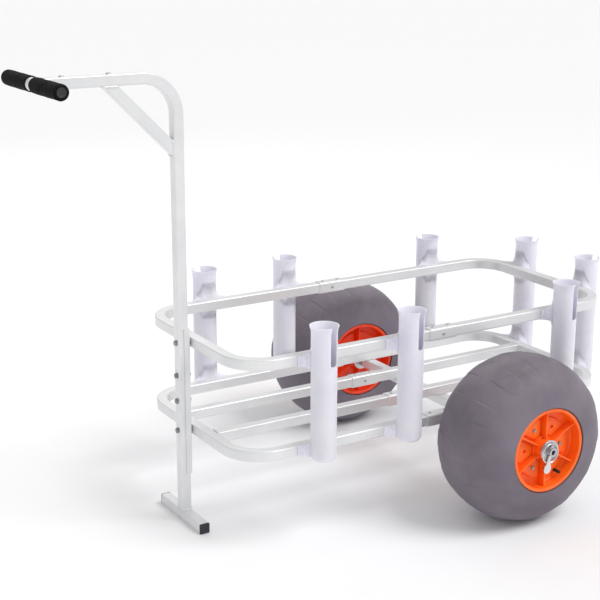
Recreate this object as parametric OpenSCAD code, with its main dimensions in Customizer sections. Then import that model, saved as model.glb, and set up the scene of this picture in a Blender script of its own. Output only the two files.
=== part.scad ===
/* [Frame] */
// Length of the two frame rings, over the tubes
ring_length = 1080; // [1050:5:1120]
// Width of the two frame rings, over the tubes
ring_width = 508; // [490:2:530]
// Side of the square frame tube
tube = 25.4; // [25:0.1:26]
// Wall of the square frame tube
tube_wall = 2; // [1.5:0.1:2.2]
// Corner radius of the square frame tube
tube_corner = 3; // [2.4:0.1:3.4]
// Bend radius of the frame tube, at its centre line
bend_radius = 85; // [75:1:95]
// Distance between the two rings, centre to centre
ring_spacing = 213.5; // [205:0.5:225]
// Length of the sleeve over each mid-length joint
sleeve_length = 76; // [60:1:90]

/* [Wheels] */
// Radius of the tyre
wheel_radius = 200; // [190:1:204]
// Half width of the tyre at its fattest
tyre_half_width = 111; // [108:1:112]
// Distance of the wheel's middle plane from the centre line
wheel_track = 387; // [386:1:395]
// Distance of the axle behind the front of the rings
axle_back = 671; // [668:1:674]
// Radius of the hub's rim lip
lip_radius = 101; // [99:1:102]
// Radius of the axle rod
axle_radius = 10.5; // [10:0.1:10.6]

/* [Handle and foot] */
// Height of the handle bar's centre line
bar_height = 1047; // [1000:1:1080]
// Distance of the cross grip ahead of the rings
grip_reach = 342; // [320:1:360]
// Length of the cross grip over its ends
grip_span = 306; // [290:2:320]
// Radius of the foam grips
grip_radius = 17.5; // [16:0.5:19]
// Reach of the handle brace along the bar and down the post
brace_reach = 145; // [135:1:155]
// Height of the joint between the handle post and the leg
seam_height = 329; // [315:1:340]
// Length of the foot bar, without its caps
foot_length = 200; // [180:2:240]

/* [Rod holders] */
// Outer radius of a rod holder
holder_radius = 31; // [30:0.5:32]
// Bore radius of a rod holder
holder_bore = 27; // [26:0.5:27.5]
// Height of the holders' rims above the ground
holder_top = 522; // [510:1:540]
// Depth of the reel slot below the rim
slot_depth = 91; // [70:1:110]
// Width of the reel slot
slot_width = 20; // [14:1:24]
// Distance of the front and rear side holders from the ends of the rings
holder_end = 190; // [185:1:200]
// Distance of the middle side holders from the front of the rings
holder_middle = 426; // [410:1:430]
// Distance of the two tail holders from the centre line
holder_tail = 120; // [100:1:130]

/* [Hidden] */
$fn = 64;

aluminium = [0.88, 0.885, 0.88];
holder_white = [0.88, 0.87, 0.94];
foam_black = [0.08, 0.08, 0.09];
cap_black = [0.14, 0.14, 0.18];
tyre_grey = [0.41, 0.38, 0.42];
hub_orange = [0.98, 0.33, 0.06];
steel = [0.72, 0.72, 0.74];
dark_steel = [0.4, 0.4, 0.42];
nylon_black = [0.12, 0.12, 0.13];

half_tube = tube / 2;
bore_side = tube - 2 * tube_wall;
slack = 0.15;
overlap = 1;

// Heights
axle_height = wheel_radius;
lower_height = axle_height + tube;
upper_height = lower_height + ring_spacing;

// Rings and slats, measured back from the rings' front face
ring_middle = ring_length / 2;
corner_y = ring_width / 2 - half_tube - bend_radius;
rail_y = ring_width / 2 - half_tube;
slat_y = rail_y / 3;
sleeve_wall = 2;
sleeve_inner = tube + 2 * slack;
screw_step = 22;
screw_radius = 2.1;
screw_length = 8;
screw_head_radius = 3.8;
screw_head_height = 2.2;

// Front post
channel_wall = 2;
spacer_length = 4;
channel_front = -spacer_length - channel_wall;
post_x = channel_front - half_tube;
post_front = post_x - half_tube;
channel_below = 108;
channel_above = 35;
channel_low = lower_height - channel_below;
channel_high = upper_height + channel_above;
channel_depth = 14;
channel_inner = tube + 2 * slack;
bolt_radius = 4;
bolt_head_radius = 6.6;
bolt_head_height = 5;
nut_height = 6;
joint_bolt_step = 31;
spacer_radius = 8;
spacer_bore = bolt_radius + slack;
long_bolt = tube + channel_wall + spacer_length + tube + nut_height + 1;
short_bolt = tube + channel_wall + nut_height + 1;

// Handle
bar_x = -grip_reach;
bar_end = bar_x + grip_radius + 2;
grip_gap = 10;
grip_tube_radius = 11;
grip_tube_wall = 1.6;
grip_end = grip_span / 2;
grip_tube_end = grip_end - 2;
stem_radius = 10;
stem_length = 84;
stem_bolt_step = 60;
stem_end = bar_x + stem_length;
stem_bolt_x = bar_x + stem_bolt_step;
small_bolt_radius = 3;
small_head_radius = 5.5;
small_head_height = 3;
plug_length = 14;
brace_bar_x = post_front - brace_reach;
brace_post_z = bar_height - half_tube - brace_reach;
brace_foot = tube + tube_wall + 4;
vent_radius = 2.5;
vent_z = brace_post_z + tube;

// Foot
foot_z = half_tube;
cap_reach = 20;
cap_flange = 3;
cap_wall = 2.5;

// Rod holders
holder_gap = holder_radius + 1;
holder_low = lower_height - half_tube - 7;
holder_floor = holder_low + 10;
rim_radius = holder_radius + 3;
flare_height = 17;
bottom_round = 12;
drain_radius = 5;
saddle_plate = 6;
saddle_block = 17;
saddle_half = holder_radius + 19;
block_half = saddle_half - 9;
wing_root = 18;
wing_tip = 40;
wing_power = 2.5;
wing_steps = 6;
upper_wing_up = 28;
upper_wing_down = 26;
lower_wing_up = 34;
lower_wing_down = 3;
block_drop = 5;
turn_left = 18;
turn_right = 10;
holder_screw_end = holder_gap + tube_wall + 6;

// Wheel, with the hub's middle plane at the origin and the outer side toward +Z
barrel_radius = lip_radius - 5;
barrel_wall = 4;
hub_half = 108.5;
lip_thick = 3.5;
boss_radius = 24;
boss_bore = 16;
boss_end = hub_half - 2;
web_depth = 34;
web_thick = 4;
rib_count = 6;
rib_thick = 4;
rib_drop = 9;
pad_radius = 53;
pad_outer = 16;
pad_height = 9.5;
hole_large = 4.5;
hole_small = 2.8;
hub_screw_radius = 2.4;
hub_screw_head = 4.2;
bush_length = 26;
bush_flange = 2;
bush_flange_radius = 20;
running_gap = 0.05;
tyre_base = lip_radius + 2;
tyre_bead = hub_half - lip_thick - 0.5;
tyre_wall = 5;
tyre_power = 2.4;
tyre_steps = 24;
valve_radius = 4;
valve_reach = 81;
valve_angle = -56;
valve_length = 26;
washer_radius = 26;
washer_thick = 2;
face_gap = 0.3;
washer_outer = wheel_track + hub_half + face_gap;
washer_inner = wheel_track - hub_half - face_gap - washer_thick;
axle_bore = 6;

// Lock pin and its ring, with the pin pointing up and its plane at the origin
lock_pin_radius = 3.5;
lock_plane = washer_outer + washer_thick + face_gap + lock_pin_radius;
lock_tilt = 15;
lock_tip = 14;
lock_head_top = -22;
lock_head_end = -53;
lock_head_half = 6;
lock_tab_half = 10;
lock_head_thick = 7;
lock_pivot = -26.6;
ring_wire = 1.7;
ring_radius = 23;
ring_centre = -5;
ring_stub_x = 8.4;
ring_stub_in = 4;
ring_hole = ring_wire + 0.2;
axle_end = lock_plane + 9;

// Overall box, which the origin is centred in
front_x = bar_x - grip_radius;
rear_x = ring_length + holder_gap + rim_radius;
middle_x = (front_x + rear_x) / 2;

// Place of each rod holder: distance back, distance sideways, turn of its outer side, turn of its slot
LEFT = -1;
RIGHT = 1;
side_y = ring_width / 2 + holder_gap;
tail_x = ring_length + holder_gap;
holder_places = [
  [holder_end, LEFT * side_y, -90, turn_left],
  [holder_middle, LEFT * side_y, -90, turn_left],
  [ring_length - holder_end, LEFT * side_y, -90, turn_left],
  [holder_end, RIGHT * side_y, 90, turn_right],
  [holder_middle, RIGHT * side_y, 90, turn_right],
  [ring_length - holder_end, RIGHT * side_y, 90, turn_right],
  [tail_x, LEFT * holder_tail, 0, 0],
  [tail_x, RIGHT * holder_tail, 0, 0]
];

// Points of an arc of a circle
function arc(cx, cy, r, from, to, steps) =
  [for (i = [0 : steps]) let (a = from + (to - from) * i / steps) [cx + r * cos(a), cy + r * sin(a)]];

// Points of the tyre's outline: a rounded rectangle whose roundness is set by its power
function tyre_outline(half, base, top) =
  [for (i = [0 : tyre_steps]) let (a = 180 * i / tyre_steps, c = cos(a), s = sin(a))
    [base + (top - base) * pow(s, 2 / tyre_power), half * sign(c) * pow(abs(c), 2 / tyre_power)]];

// Moves the whole cart so that the origin is below the middle of its box
module placed() {
  translate([-middle_x, 0, 0]) children();
}

// Filled cross section of a square tube with rounded corners
module rounded_square(side, corner) {
  square([side, side - 2 * corner], center = true);
  square([side - 2 * corner, side], center = true);
  for (x = [-1, 1], y = [-1, 1])
    translate([x * (side / 2 - corner), y * (side / 2 - corner)]) circle(r = corner);
}

// Cross section of the hollow frame tube
module tube_section() {
  difference() {
    rounded_square(tube, tube_corner);
    rounded_square(bore_side, tube_corner - tube_wall);
  }
}

// Tube along +X, +Y and +Z from the origin
module tube_x(length) {
  rotate([0, 90, 0]) linear_extrude(height = length) tube_section();
}

module tube_y(length) {
  rotate([-90, 0, 0]) linear_extrude(height = length) tube_section();
}

module tube_z(length) {
  linear_extrude(height = length) tube_section();
}

// Rods along +X and +Y from the origin
module rod_x(radius, length) {
  rotate([0, 90, 0]) cylinder(r = radius, h = length);
}

module rod_y(radius, length) {
  rotate([-90, 0, 0]) cylinder(r = radius, h = length);
}

// Front half of a ring: a bent U of square tube that ends at mid length
module ring_half() {
  translate([half_tube, -corner_y, 0]) tube_y(2 * corner_y);
  for (side = [LEFT, RIGHT]) {
    translate([half_tube + bend_radius, side * corner_y, 0])
      rotate([0, 0, side == RIGHT ? 90 : 180])
        rotate_extrude(angle = 90) translate([bend_radius, 0]) tube_section();
    translate([half_tube + bend_radius, side * rail_y, 0])
      tube_x(ring_middle - half_tube - bend_radius);
  }
}

module at_tail() {
  translate([ring_length, 0, 0]) mirror([1, 0, 0]) children();
}

// Everything that is drilled through the frame tubes
module frame_holes() {
  sleeve_screw_places() cylinder(r = screw_radius + slack, h = screw_length + overlap);
  holder_screw_places()
    rod_x(screw_radius + slack, holder_screw_end + overlap);
  for (z = [lower_height, upper_height])
    translate([-overlap, 0, z]) rod_x(bolt_radius + slack, tube + 2 * overlap);
}

// Puts children at each sleeve screw, with +Z pointing into the tube
module sleeve_screw_places() {
  for (y = [-rail_y, -slat_y, slat_y, rail_y])
    translate([ring_middle, y, lower_height]) one_sleeve_screws() children();
  for (y = [-rail_y, rail_y])
    translate([ring_middle, y, upper_height]) one_sleeve_screws() children();
}

module one_sleeve_screws() {
  reach = half_tube + slack + sleeve_wall;
  for (x = [-screw_step, screw_step])
    translate([x, 0, reach]) rotate([180, 0, 0]) children();
  for (side = [LEFT, RIGHT])
    translate([0, side * reach, 0]) rotate([90 * side, 0, 0]) children();
}

// Puts children at each holder screw, with +X pointing from the holder's axis to the rail
module holder_screw_places() {
  for (p = holder_places, z = [lower_height, upper_height])
    translate([p[0], p[1], z]) rotate([0, 0, p[2] + 180]) children();
}

module frame_ring_front(height) {
  color(aluminium) placed() difference() {
    translate([0, 0, height]) ring_half();
    frame_holes();
  }
}

module frame_ring_rear(height) {
  color(aluminium) placed() difference() {
    translate([0, 0, height]) at_tail() ring_half();
    frame_holes();
  }
}

module slat_front(side) {
  color(aluminium) placed() difference() {
    translate([tube, side * slat_y, lower_height]) tube_x(ring_middle - tube);
    frame_holes();
  }
}

module slat_rear(side) {
  color(aluminium) placed() difference() {
    translate([ring_middle, side * slat_y, lower_height]) tube_x(ring_middle - tube);
    frame_holes();
  }
}

// Sleeve over the joint between a front and a rear tube
module sleeve(y, height) {
  color(aluminium) placed() difference() {
    translate([ring_middle - sleeve_length / 2, y, height]) rotate([0, 90, 0])
      linear_extrude(height = sleeve_length) difference() {
        rounded_square(sleeve_inner + 2 * sleeve_wall, tube_corner + sleeve_wall);
        rounded_square(sleeve_inner, tube_corner);
      }
    sleeve_screw_places() translate([0, 0, -overlap])
      cylinder(r = screw_radius + slack, h = screw_length);
  }
}

module sleeve_screws() {
  color(dark_steel) placed() sleeve_screw_places() {
    cylinder(r = screw_radius, h = screw_length);
    translate([0, 0, -screw_head_height])
      cylinder(r1 = screw_head_radius * 0.7, r2 = screw_head_radius, h = screw_head_height);
  }
}

// Bolts through the post, with +X pointing back from the post's front face
module post_bolt_places() {
  for (z = [lower_height, upper_height]) translate([post_front, 0, z]) children(0);
  for (z = [seam_height - joint_bolt_step, seam_height + joint_bolt_step])
    translate([post_front, 0, z]) children(1);
}

module post_holes() {
  post_bolt_places() {
    translate([-overlap, 0, 0]) rod_x(bolt_radius + slack, tube + channel_wall + 2 * overlap);
    translate([-overlap, 0, 0]) rod_x(bolt_radius + slack, tube + channel_wall + 2 * overlap);
  }
}

module post_bolt(length) {
  translate([-bolt_head_height, 0, 0]) rotate([0, 90, 0])
    cylinder(r = bolt_head_radius, h = bolt_head_height, $fn = 6);
  rod_x(bolt_radius, length);
}

module post_bolts() {
  color(dark_steel) placed() post_bolt_places() {
    post_bolt(long_bolt);
    post_bolt(short_bolt);
  }
}

module hex_nut() {
  rotate([0, 90, 0]) difference() {
    cylinder(r = bolt_head_radius, h = nut_height, $fn = 6);
    translate([0, 0, -overlap]) cylinder(r = bolt_radius + 0.05, h = nut_height + 2 * overlap);
  }
}

module post_nuts() {
  color(dark_steel) placed() post_bolt_places() {
    translate([long_bolt - nut_height - 1, 0, 0]) hex_nut();
    translate([short_bolt - nut_height - 1, 0, 0]) hex_nut();
  }
}

module post_spacers() {
  color(nylon_black) placed() for (z = [lower_height, upper_height])
    translate([-spacer_length, 0, z]) difference() {
      rod_x(spacer_radius, spacer_length);
      translate([-overlap, 0, 0]) rod_x(spacer_bore, spacer_length + 2 * overlap);
    }
}

// U channel that backs the joint between the handle post and the leg
module post_channel() {
  color(aluminium) placed() difference() {
    translate([channel_front + channel_wall, 0, channel_low])
      linear_extrude(height = channel_high - channel_low) {
        translate([-channel_wall, -channel_inner / 2 - channel_wall])
          square([channel_wall, channel_inner + 2 * channel_wall]);
        for (side = [LEFT, RIGHT])
          translate([-channel_depth, side * (channel_inner + channel_wall) / 2 - channel_wall / 2])
            square([channel_depth, channel_wall]);
      }
    post_holes();
  }
}

// Holes for the small bolts of the handle: one down through the bar, two in the brace's ends
module handle_bolt_places() {
  translate([stem_bolt_x, 0, bar_height + half_tube]) rotate([180, 0, 0]) children(0);
  translate([brace_bar_x, 0, bar_height + half_tube]) rotate([180, 0, 0]) children(1);
  translate([post_x + half_tube, 0, brace_post_z]) rotate([0, -90, 0]) children(1);
}

module handle_holes() {
  handle_bolt_places() {
    translate([0, 0, -overlap]) cylinder(r = small_bolt_radius + slack, h = tube + 2 * overlap);
    translate([0, 0, -overlap]) cylinder(r = small_bolt_radius + slack, h = brace_foot + overlap);
  }
  translate([post_front - overlap, 0, vent_z]) rod_x(vent_radius, 2 * tube_wall);
}

module handle_bolts() {
  color(dark_steel) placed() handle_bolt_places() {
    union() {
      cylinder(r = small_bolt_radius, h = tube);
      translate([0, 0, -small_head_height]) cylinder(r = small_head_radius, h = small_head_height);
      translate([0, 0, tube]) cylinder(r = small_head_radius, h = small_head_height, $fn = 6);
    }
    union() {
      cylinder(r = small_bolt_radius, h = brace_foot);
      translate([0, 0, -small_head_height]) cylinder(r = small_head_radius, h = small_head_height);
    }
  }
}

// Upright of the handle with its bend and the bar that reaches forward
module handle_post() {
  rise = bar_height - bend_radius - seam_height;
  reach = post_x - bend_radius - bar_end;
  color(aluminium) placed() difference() {
    union() {
      translate([post_x, 0, seam_height]) tube_z(rise);
      translate([post_x - bend_radius, 0, bar_height - bend_radius]) rotate([90, 0, 0])
        rotate_extrude(angle = 90) translate([bend_radius, 0]) tube_section();
      translate([bar_end, 0, bar_height]) tube_x(reach);
    }
    post_holes();
    handle_holes();
  }
}

// Diagonal tube, cut flat where it meets the bar and the post
module handle_brace() {
  run = brace_reach * sqrt(2);
  cut = 4 * tube;
  color(aluminium) placed() difference() {
    translate([brace_bar_x, 0, bar_height - half_tube]) rotate([0, 45, 0])
      translate([-tube, 0, 0]) tube_x(run + 2 * tube);
    translate([brace_bar_x - cut, -cut / 2, bar_height - half_tube]) cube([2 * cut, cut, cut]);
    translate([post_front, -cut / 2, brace_post_z - cut]) cube([cut, cut, 2 * cut]);
    handle_holes();
  }
}

// Cross bar of the handle with the stem that slides into the square bar
module handle_bar() {
  color(steel) placed() translate([0, 0, bar_height]) difference() {
    union() {
      translate([bar_x, -grip_tube_end, 0]) rod_y(grip_tube_radius, 2 * grip_tube_end);
      translate([bar_x, 0, 0]) rod_x(stem_radius, stem_end - bar_x);
    }
    translate([bar_x, -grip_end, 0]) rod_y(grip_tube_radius - grip_tube_wall, 2 * grip_end);
    translate([0, 0, -bar_height]) handle_holes();
  }
}

// Foam sleeve with rounded ends
module grip(side) {
  round_end = 5;
  length = grip_end - grip_gap;
  outline = concat(
    [[grip_tube_radius + slack, 0]],
    arc(grip_radius - round_end, round_end, round_end, -90, 0, 6),
    arc(grip_radius - round_end, length - round_end, round_end, 0, 90, 6),
    [[grip_tube_radius + slack, length]]);
  color(foam_black) placed() translate([bar_x, side * grip_gap, bar_height])
    rotate([-90 * side, 0, 0]) rotate_extrude() polygon(outline);
}

module grip_plugs() {
  inner = grip_tube_radius - grip_tube_wall - slack;
  color(nylon_black) placed() for (side = [LEFT, RIGHT])
    translate([bar_x, side * grip_tube_end, bar_height]) rotate([-90 * side, 0, 0]) {
      translate([0, 0, -plug_length]) cylinder(r = inner, h = plug_length);
      cylinder(r = grip_tube_radius - slack, h = grip_end - grip_tube_end);
    }
}

module leg_post() {
  low = foot_z + half_tube;
  color(aluminium) placed() difference() {
    translate([post_x, 0, low]) tube_z(seam_height - low);
    post_holes();
  }
}

module foot_bar() {
  color(aluminium) placed() translate([post_x, -foot_length / 2, foot_z]) tube_y(foot_length);
}

// End plug of the foot bar: a flange flush with the tube, and a hollow shank inside it
module foot_cap(side) {
  shank = bore_side - 0.02;
  color(cap_black) placed() translate([post_x, side * foot_length / 2, foot_z]) rotate([-90 * side, 0, 0]) {
    linear_extrude(height = cap_flange) rounded_square(tube, tube_corner);
    translate([0, 0, -cap_reach]) linear_extrude(height = cap_reach) difference() {
      rounded_square(shank, tube_corner - tube_wall);
      square(shank - 2 * cap_wall, center = true);
    }
  }
}

// Curved edge of a saddle's wing, from its tip at the rail's edge in to its root at the holder
function wing(half, side, reach) =
  concat([[side * half, half_tube]], [for (i = [0 : wing_steps]) let (t = i / wing_steps)
    [side * (wing_tip - (wing_tip - wing_root) * t), half_tube + reach * pow(t, wing_power)]]);

function reversed(list) = [for (i = [len(list) - 1 : -1 : 0]) list[i]];

function flipped(list) = [for (p = list) [p[0], -p[1]]];

// Saddle against one rail: as high as the rail at its wings' tips, taller at the holder
module saddle(half, up, down, thick) {
  translate([-holder_gap, 0, 0]) rotate([90, 0, 90]) linear_extrude(height = thick)
    polygon(concat(wing(half, LEFT, up), reversed(wing(half, RIGHT, up)),
      flipped(wing(half, RIGHT, down)), flipped(reversed(wing(half, LEFT, down)))));
}

// Plate and thicker middle of one saddle
module saddle_pair(up, down) {
  saddle(saddle_half, up, down, saddle_plate);
  saddle(block_half, up - block_drop, max(down - block_drop, 0), saddle_block);
}

module rod_holder(i) {
  p = holder_places[i];
  body = concat(
    [[0, holder_low]],
    arc(holder_radius - bottom_round, holder_low + bottom_round, bottom_round, -90, 0, 6),
    [[holder_radius, holder_top - flare_height]],
    arc(rim_radius - 2, holder_top - 2, 2, 0, 90, 4),
    [[0, holder_top]]);
  lip = rim_radius - 3;
  bore = [[0, holder_floor], [holder_bore, holder_floor], [holder_bore, holder_top - flare_height],
    [lip, holder_top], [lip, holder_top + overlap], [0, holder_top + overlap]];
  color(holder_white) placed() difference() {
    translate([p[0], p[1], 0]) rotate([0, 0, p[2]]) difference() {
      union() {
        rotate_extrude() polygon(body);
        translate([0, 0, lower_height]) saddle_pair(lower_wing_up, lower_wing_down);
        translate([0, 0, upper_height]) saddle_pair(upper_wing_up, upper_wing_down);
      }
      rotate_extrude() polygon(bore);
      translate([0, 0, holder_low - overlap]) cylinder(r = drain_radius, h = holder_floor);
      rotate([0, 0, p[3]]) translate([0, -slot_width / 2, holder_top - slot_depth])
        cube([2 * holder_radius, slot_width, slot_depth + overlap]);
    }
    holder_screw_places() rod_x(screw_radius + slack, holder_screw_end + overlap);
    holder_screw_places() countersink(slack);
  }
}

// Countersunk head, flush with the holder's bore
module countersink(grow) {
  translate([holder_bore - overlap, 0, 0]) rotate([0, 90, 0])
    cylinder(r1 = screw_head_radius + overlap + grow, r2 = screw_radius + grow,
      h = screw_head_radius + overlap - screw_radius);
}

module holder_screws() {
  color(steel) placed() holder_screw_places() difference() {
    union() {
      countersink(0);
      translate([holder_bore, 0, 0]) rod_x(screw_radius, holder_screw_end - holder_bore);
    }
    translate([holder_bore - 2 * overlap, -holder_radius, -holder_radius])
      cube([2 * overlap + 0.4, 2 * holder_radius, 2 * holder_radius]);
  }
}

module axle_tube() {
  color(aluminium) placed() translate([axle_back, -ring_width / 2, axle_height]) tube_y(ring_width);
}

module axle_rod() {
  color(steel) placed() translate([axle_back, 0, axle_height]) difference() {
    translate([0, -axle_end, 0]) rod_y(axle_radius, 2 * axle_end);
    translate([0, -axle_end - overlap, 0]) rod_y(axle_bore, 2 * (axle_end + overlap));
    for (side = [LEFT, RIGHT]) translate([0, side * lock_plane, 0]) rotate([0, lock_tilt, 0])
      translate([0, 0, -wheel_radius / 2]) cylinder(r = lock_pin_radius + slack, h = wheel_radius);
  }
}

// Spacers between the cross tube and the inner washers
module axle_spacers() {
  low = ring_width / 2;
  color(steel) placed() for (side = [LEFT, RIGHT])
    translate([axle_back, side * low, axle_height]) rotate([-90 * side, 0, 0]) difference() {
      cylinder(r = 15, h = washer_inner - low);
      translate([0, 0, -overlap]) cylinder(r = axle_radius + running_gap, h = washer_inner);
    }
}

// Puts a wheel part on its side of the cart, with its outer face away from the frame
module on_wheel(side) {
  placed() translate([axle_back, side * wheel_track, axle_height])
    mirror([0, side == LEFT ? 0 : 1, 0]) rotate([90, 0, 0]) children();
}

module tyre(side) {
  bead = [[barrel_radius + 0.02, -tyre_bead], [barrel_radius + 0.02, tyre_bead], [tyre_base, tyre_bead]];
  low_bead = [[tyre_base, -tyre_bead]];
  cavity_base = tyre_base + 1;
  color(tyre_grey) on_wheel(side) rotate_extrude($fn = 128) difference() {
    polygon(concat(bead, tyre_outline(tyre_half_width, tyre_base, wheel_radius), low_bead));
    polygon(tyre_outline(tyre_half_width - tyre_wall, cavity_base, wheel_radius - tyre_wall));
  }
}

// One half of the two-part hub, from its middle plane out to its lip
module hub_half_shape() {
  web_low = hub_half - web_depth;
  inner = barrel_radius - barrel_wall;
  profile = [[boss_bore, 0], [boss_radius, 0], [boss_radius, web_low], [inner, web_low],
    [inner, 0], [barrel_radius, 0], [barrel_radius, hub_half - lip_thick],
    [lip_radius, hub_half - lip_thick], [lip_radius, hub_half], [inner, hub_half],
    [inner, web_low + web_thick], [boss_radius, web_low + web_thick],
    [boss_radius, boss_end], [boss_bore, boss_end]];
  difference() {
    union() {
      rotate_extrude() polygon(profile);
      for (i = [0 : rib_count - 1]) rotate([0, 0, (i + 0.5) * 360 / rib_count])
        translate([boss_radius - 1, -rib_thick / 2, web_low + 1])
          cube([inner - boss_radius + 2, rib_thick, web_depth - rib_drop - 1]);
      for (i = [0 : rib_count - 1]) rotate([0, 0, i * 360 / rib_count])
        translate([pad_radius, 0, web_low + 1]) cylinder(r = pad_outer, h = pad_height - 1);
    }
    for (i = [0 : rib_count - 1]) rotate([0, 0, i * 360 / rib_count])
      translate([pad_radius, 0, web_low - overlap])
        cylinder(r = i % 2 == 1 ? hole_large : hole_small, h = pad_height + 2 * overlap);
    rotate([0, 0, valve_angle]) translate([valve_reach, 0, web_low - overlap])
      cylinder(r = valve_radius + 0.02, h = web_thick + pad_height + 2 * overlap);
  }
}

module hub_outer(side) {
  color(hub_orange) on_wheel(side) hub_half_shape();
}

module hub_inner(side) {
  color(hub_orange) on_wheel(side) mirror([0, 0, 1]) hub_half_shape();
}

// Long screws through the small holes, which pull the hub halves together
module hub_screws(side) {
  top = hub_half - web_depth + pad_height;
  color(steel) on_wheel(side) for (i = [0 : 2 : rib_count - 1]) rotate([0, 0, i * 360 / rib_count])
    translate([pad_radius, 0, 0]) {
      translate([0, 0, -top]) cylinder(r = hub_screw_radius, h = 2 * top);
      translate([0, 0, top]) cylinder(r = hub_screw_head, h = 3);
      translate([0, 0, -top - 3]) cylinder(r = hub_screw_head, h = 3, $fn = 6);
    }
}

// Flanged plain bushes in both ends of the hub's boss
module bushes(side) {
  color(nylon_black) on_wheel(side) for (flip = [0, 1]) mirror([0, 0, flip]) difference() {
    union() {
      translate([0, 0, boss_end - bush_length]) cylinder(r = boss_bore - 0.02, h = bush_length);
      translate([0, 0, boss_end]) cylinder(r = bush_flange_radius, h = bush_flange);
    }
    cylinder(r = axle_radius + running_gap, h = hub_half + overlap);
  }
}

module valve(side) {
  low = hub_half - web_depth;
  color(nylon_black) on_wheel(side) rotate([0, 0, valve_angle]) translate([valve_reach, 0, low - 6]) {
    cylinder(r = valve_radius, h = valve_length);
    translate([0, 0, valve_length]) cylinder(r1 = valve_radius, r2 = valve_radius - 1, h = 4);
    cylinder(r = valve_radius + 2, h = 5);
  }
}

// Thrust washers each side of the hub, fixed on the rod
module washers(side) {
  color(steel) placed() for (y = [washer_inner, washer_outer])
    translate([axle_back, side * y, axle_height]) rotate([-90 * side, 0, 0]) difference() {
      cylinder(r = washer_radius, h = washer_thick);
      translate([0, 0, -overlap]) cylinder(r = axle_radius + running_gap, h = washer_thick + 2 * overlap);
    }
}

// Puts a lock part on the rod's end, tilted as the pin is
module on_axle_end(side) {
  placed() translate([axle_back, side * lock_plane, axle_height]) rotate([0, lock_tilt, 0]) children();
}

// Pin that keeps the wheel on, with a flat tab to pull it by
module lock_pin(side) {
  neck = lock_head_half;
  color(steel) on_axle_end(side) difference() {
    union() {
      translate([0, 0, lock_head_top]) cylinder(r = lock_pin_radius, h = lock_tip - lock_head_top);
      translate([0, lock_head_thick / 2, 0]) rotate([90, 0, 0])
        linear_extrude(height = lock_head_thick) {
          polygon([[-neck, lock_head_top], [neck, lock_head_top], [neck, lock_pivot - 4],
            [lock_tab_half, lock_pivot - 10], [lock_tab_half, lock_head_end + lock_tab_half],
            [-lock_tab_half, lock_head_end + lock_tab_half], [-lock_tab_half, lock_pivot - 10],
            [-neck, lock_pivot - 4]]);
          translate([0, lock_head_end + lock_tab_half]) circle(r = lock_tab_half);
        }
    }
    for (x = [0, 1]) mirror([x, 0, 0])
      translate([ring_stub_in - 0.5, 0, lock_pivot]) rod_x(ring_hole, 2 * neck);
  }
}

// Wire ring that swings over the rod's end and snaps round the pin's tip
module lock_ring(side) {
  reach = lock_pivot - ring_centre;
  start = atan2(ring_stub_x, -reach);
  color(steel) on_axle_end(side) {
    translate([0, 0, ring_centre]) rotate([90, 0, 0]) rotate([0, 0, start - 90])
      rotate_extrude(angle = 360 - 2 * start) translate([ring_radius, 0]) circle(r = ring_wire, $fn = 24);
    for (x = [0, 1]) mirror([x, 0, 0]) translate([0, 0, lock_pivot]) {
      translate([ring_stub_in, 0, 0]) rod_x(ring_wire, ring_stub_x - ring_stub_in);
      translate([ring_stub_x, 0, 0]) sphere(r = ring_wire, $fn = 24);
    }
  }
}

frame_ring_front(upper_height);  // upper_ring_front
frame_ring_rear(upper_height);  // upper_ring_rear
frame_ring_front(lower_height);  // lower_ring_front
frame_ring_rear(lower_height);  // lower_ring_rear
slat_front(LEFT);  // slat_left_front
slat_rear(LEFT);  // slat_left_rear
slat_front(RIGHT);  // slat_right_front
slat_rear(RIGHT);  // slat_right_rear
sleeve(-rail_y, upper_height);  // sleeve_upper_left
sleeve(rail_y, upper_height);  // sleeve_upper_right
sleeve(-rail_y, lower_height);  // sleeve_lower_left
sleeve(rail_y, lower_height);  // sleeve_lower_right
sleeve(-slat_y, lower_height);  // sleeve_slat_left
sleeve(slat_y, lower_height);  // sleeve_slat_right
sleeve_screws();
post_channel();
handle_post();
handle_brace();
handle_bolts();
handle_bar();
grip(LEFT);  // grip_left
grip(RIGHT);  // grip_right
grip_plugs();
leg_post();
foot_bar();
foot_cap(LEFT);  // foot_cap_left
foot_cap(RIGHT);  // foot_cap_right
post_bolts();
post_nuts();
post_spacers();
rod_holder(0);  // holder_left_front
rod_holder(1);  // holder_left_middle
rod_holder(2);  // holder_left_rear
rod_holder(3);  // holder_right_front
rod_holder(4);  // holder_right_middle
rod_holder(5);  // holder_right_rear
rod_holder(6);  // holder_tail_left
rod_holder(7);  // holder_tail_right
holder_screws();
axle_tube();
axle_rod();
axle_spacers();
tyre(LEFT);  // tyre_left
hub_outer(LEFT);  // hub_outer_left
hub_inner(LEFT);  // hub_inner_left
bushes(LEFT);  // bushes_left
valve(LEFT);  // valve_left
tyre(RIGHT);  // tyre_right
hub_outer(RIGHT);  // hub_outer_right
hub_inner(RIGHT);  // hub_inner_right
bushes(RIGHT);  // bushes_right
valve(RIGHT);  // valve_right
washers(LEFT);  // washers_left
washers(RIGHT);  // washers_right
hub_screws(LEFT);  // hub_screws_left
hub_screws(RIGHT);  // hub_screws_right
lock_pin(LEFT);  // lock_pin_left
lock_pin(RIGHT);  // lock_pin_right
lock_ring(LEFT);  // lock_ring_left
lock_ring(RIGHT);  // lock_ring_right
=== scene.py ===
import math
import bmesh
import bpy
import numpy as np
from mathutils import Matrix, Vector


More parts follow.
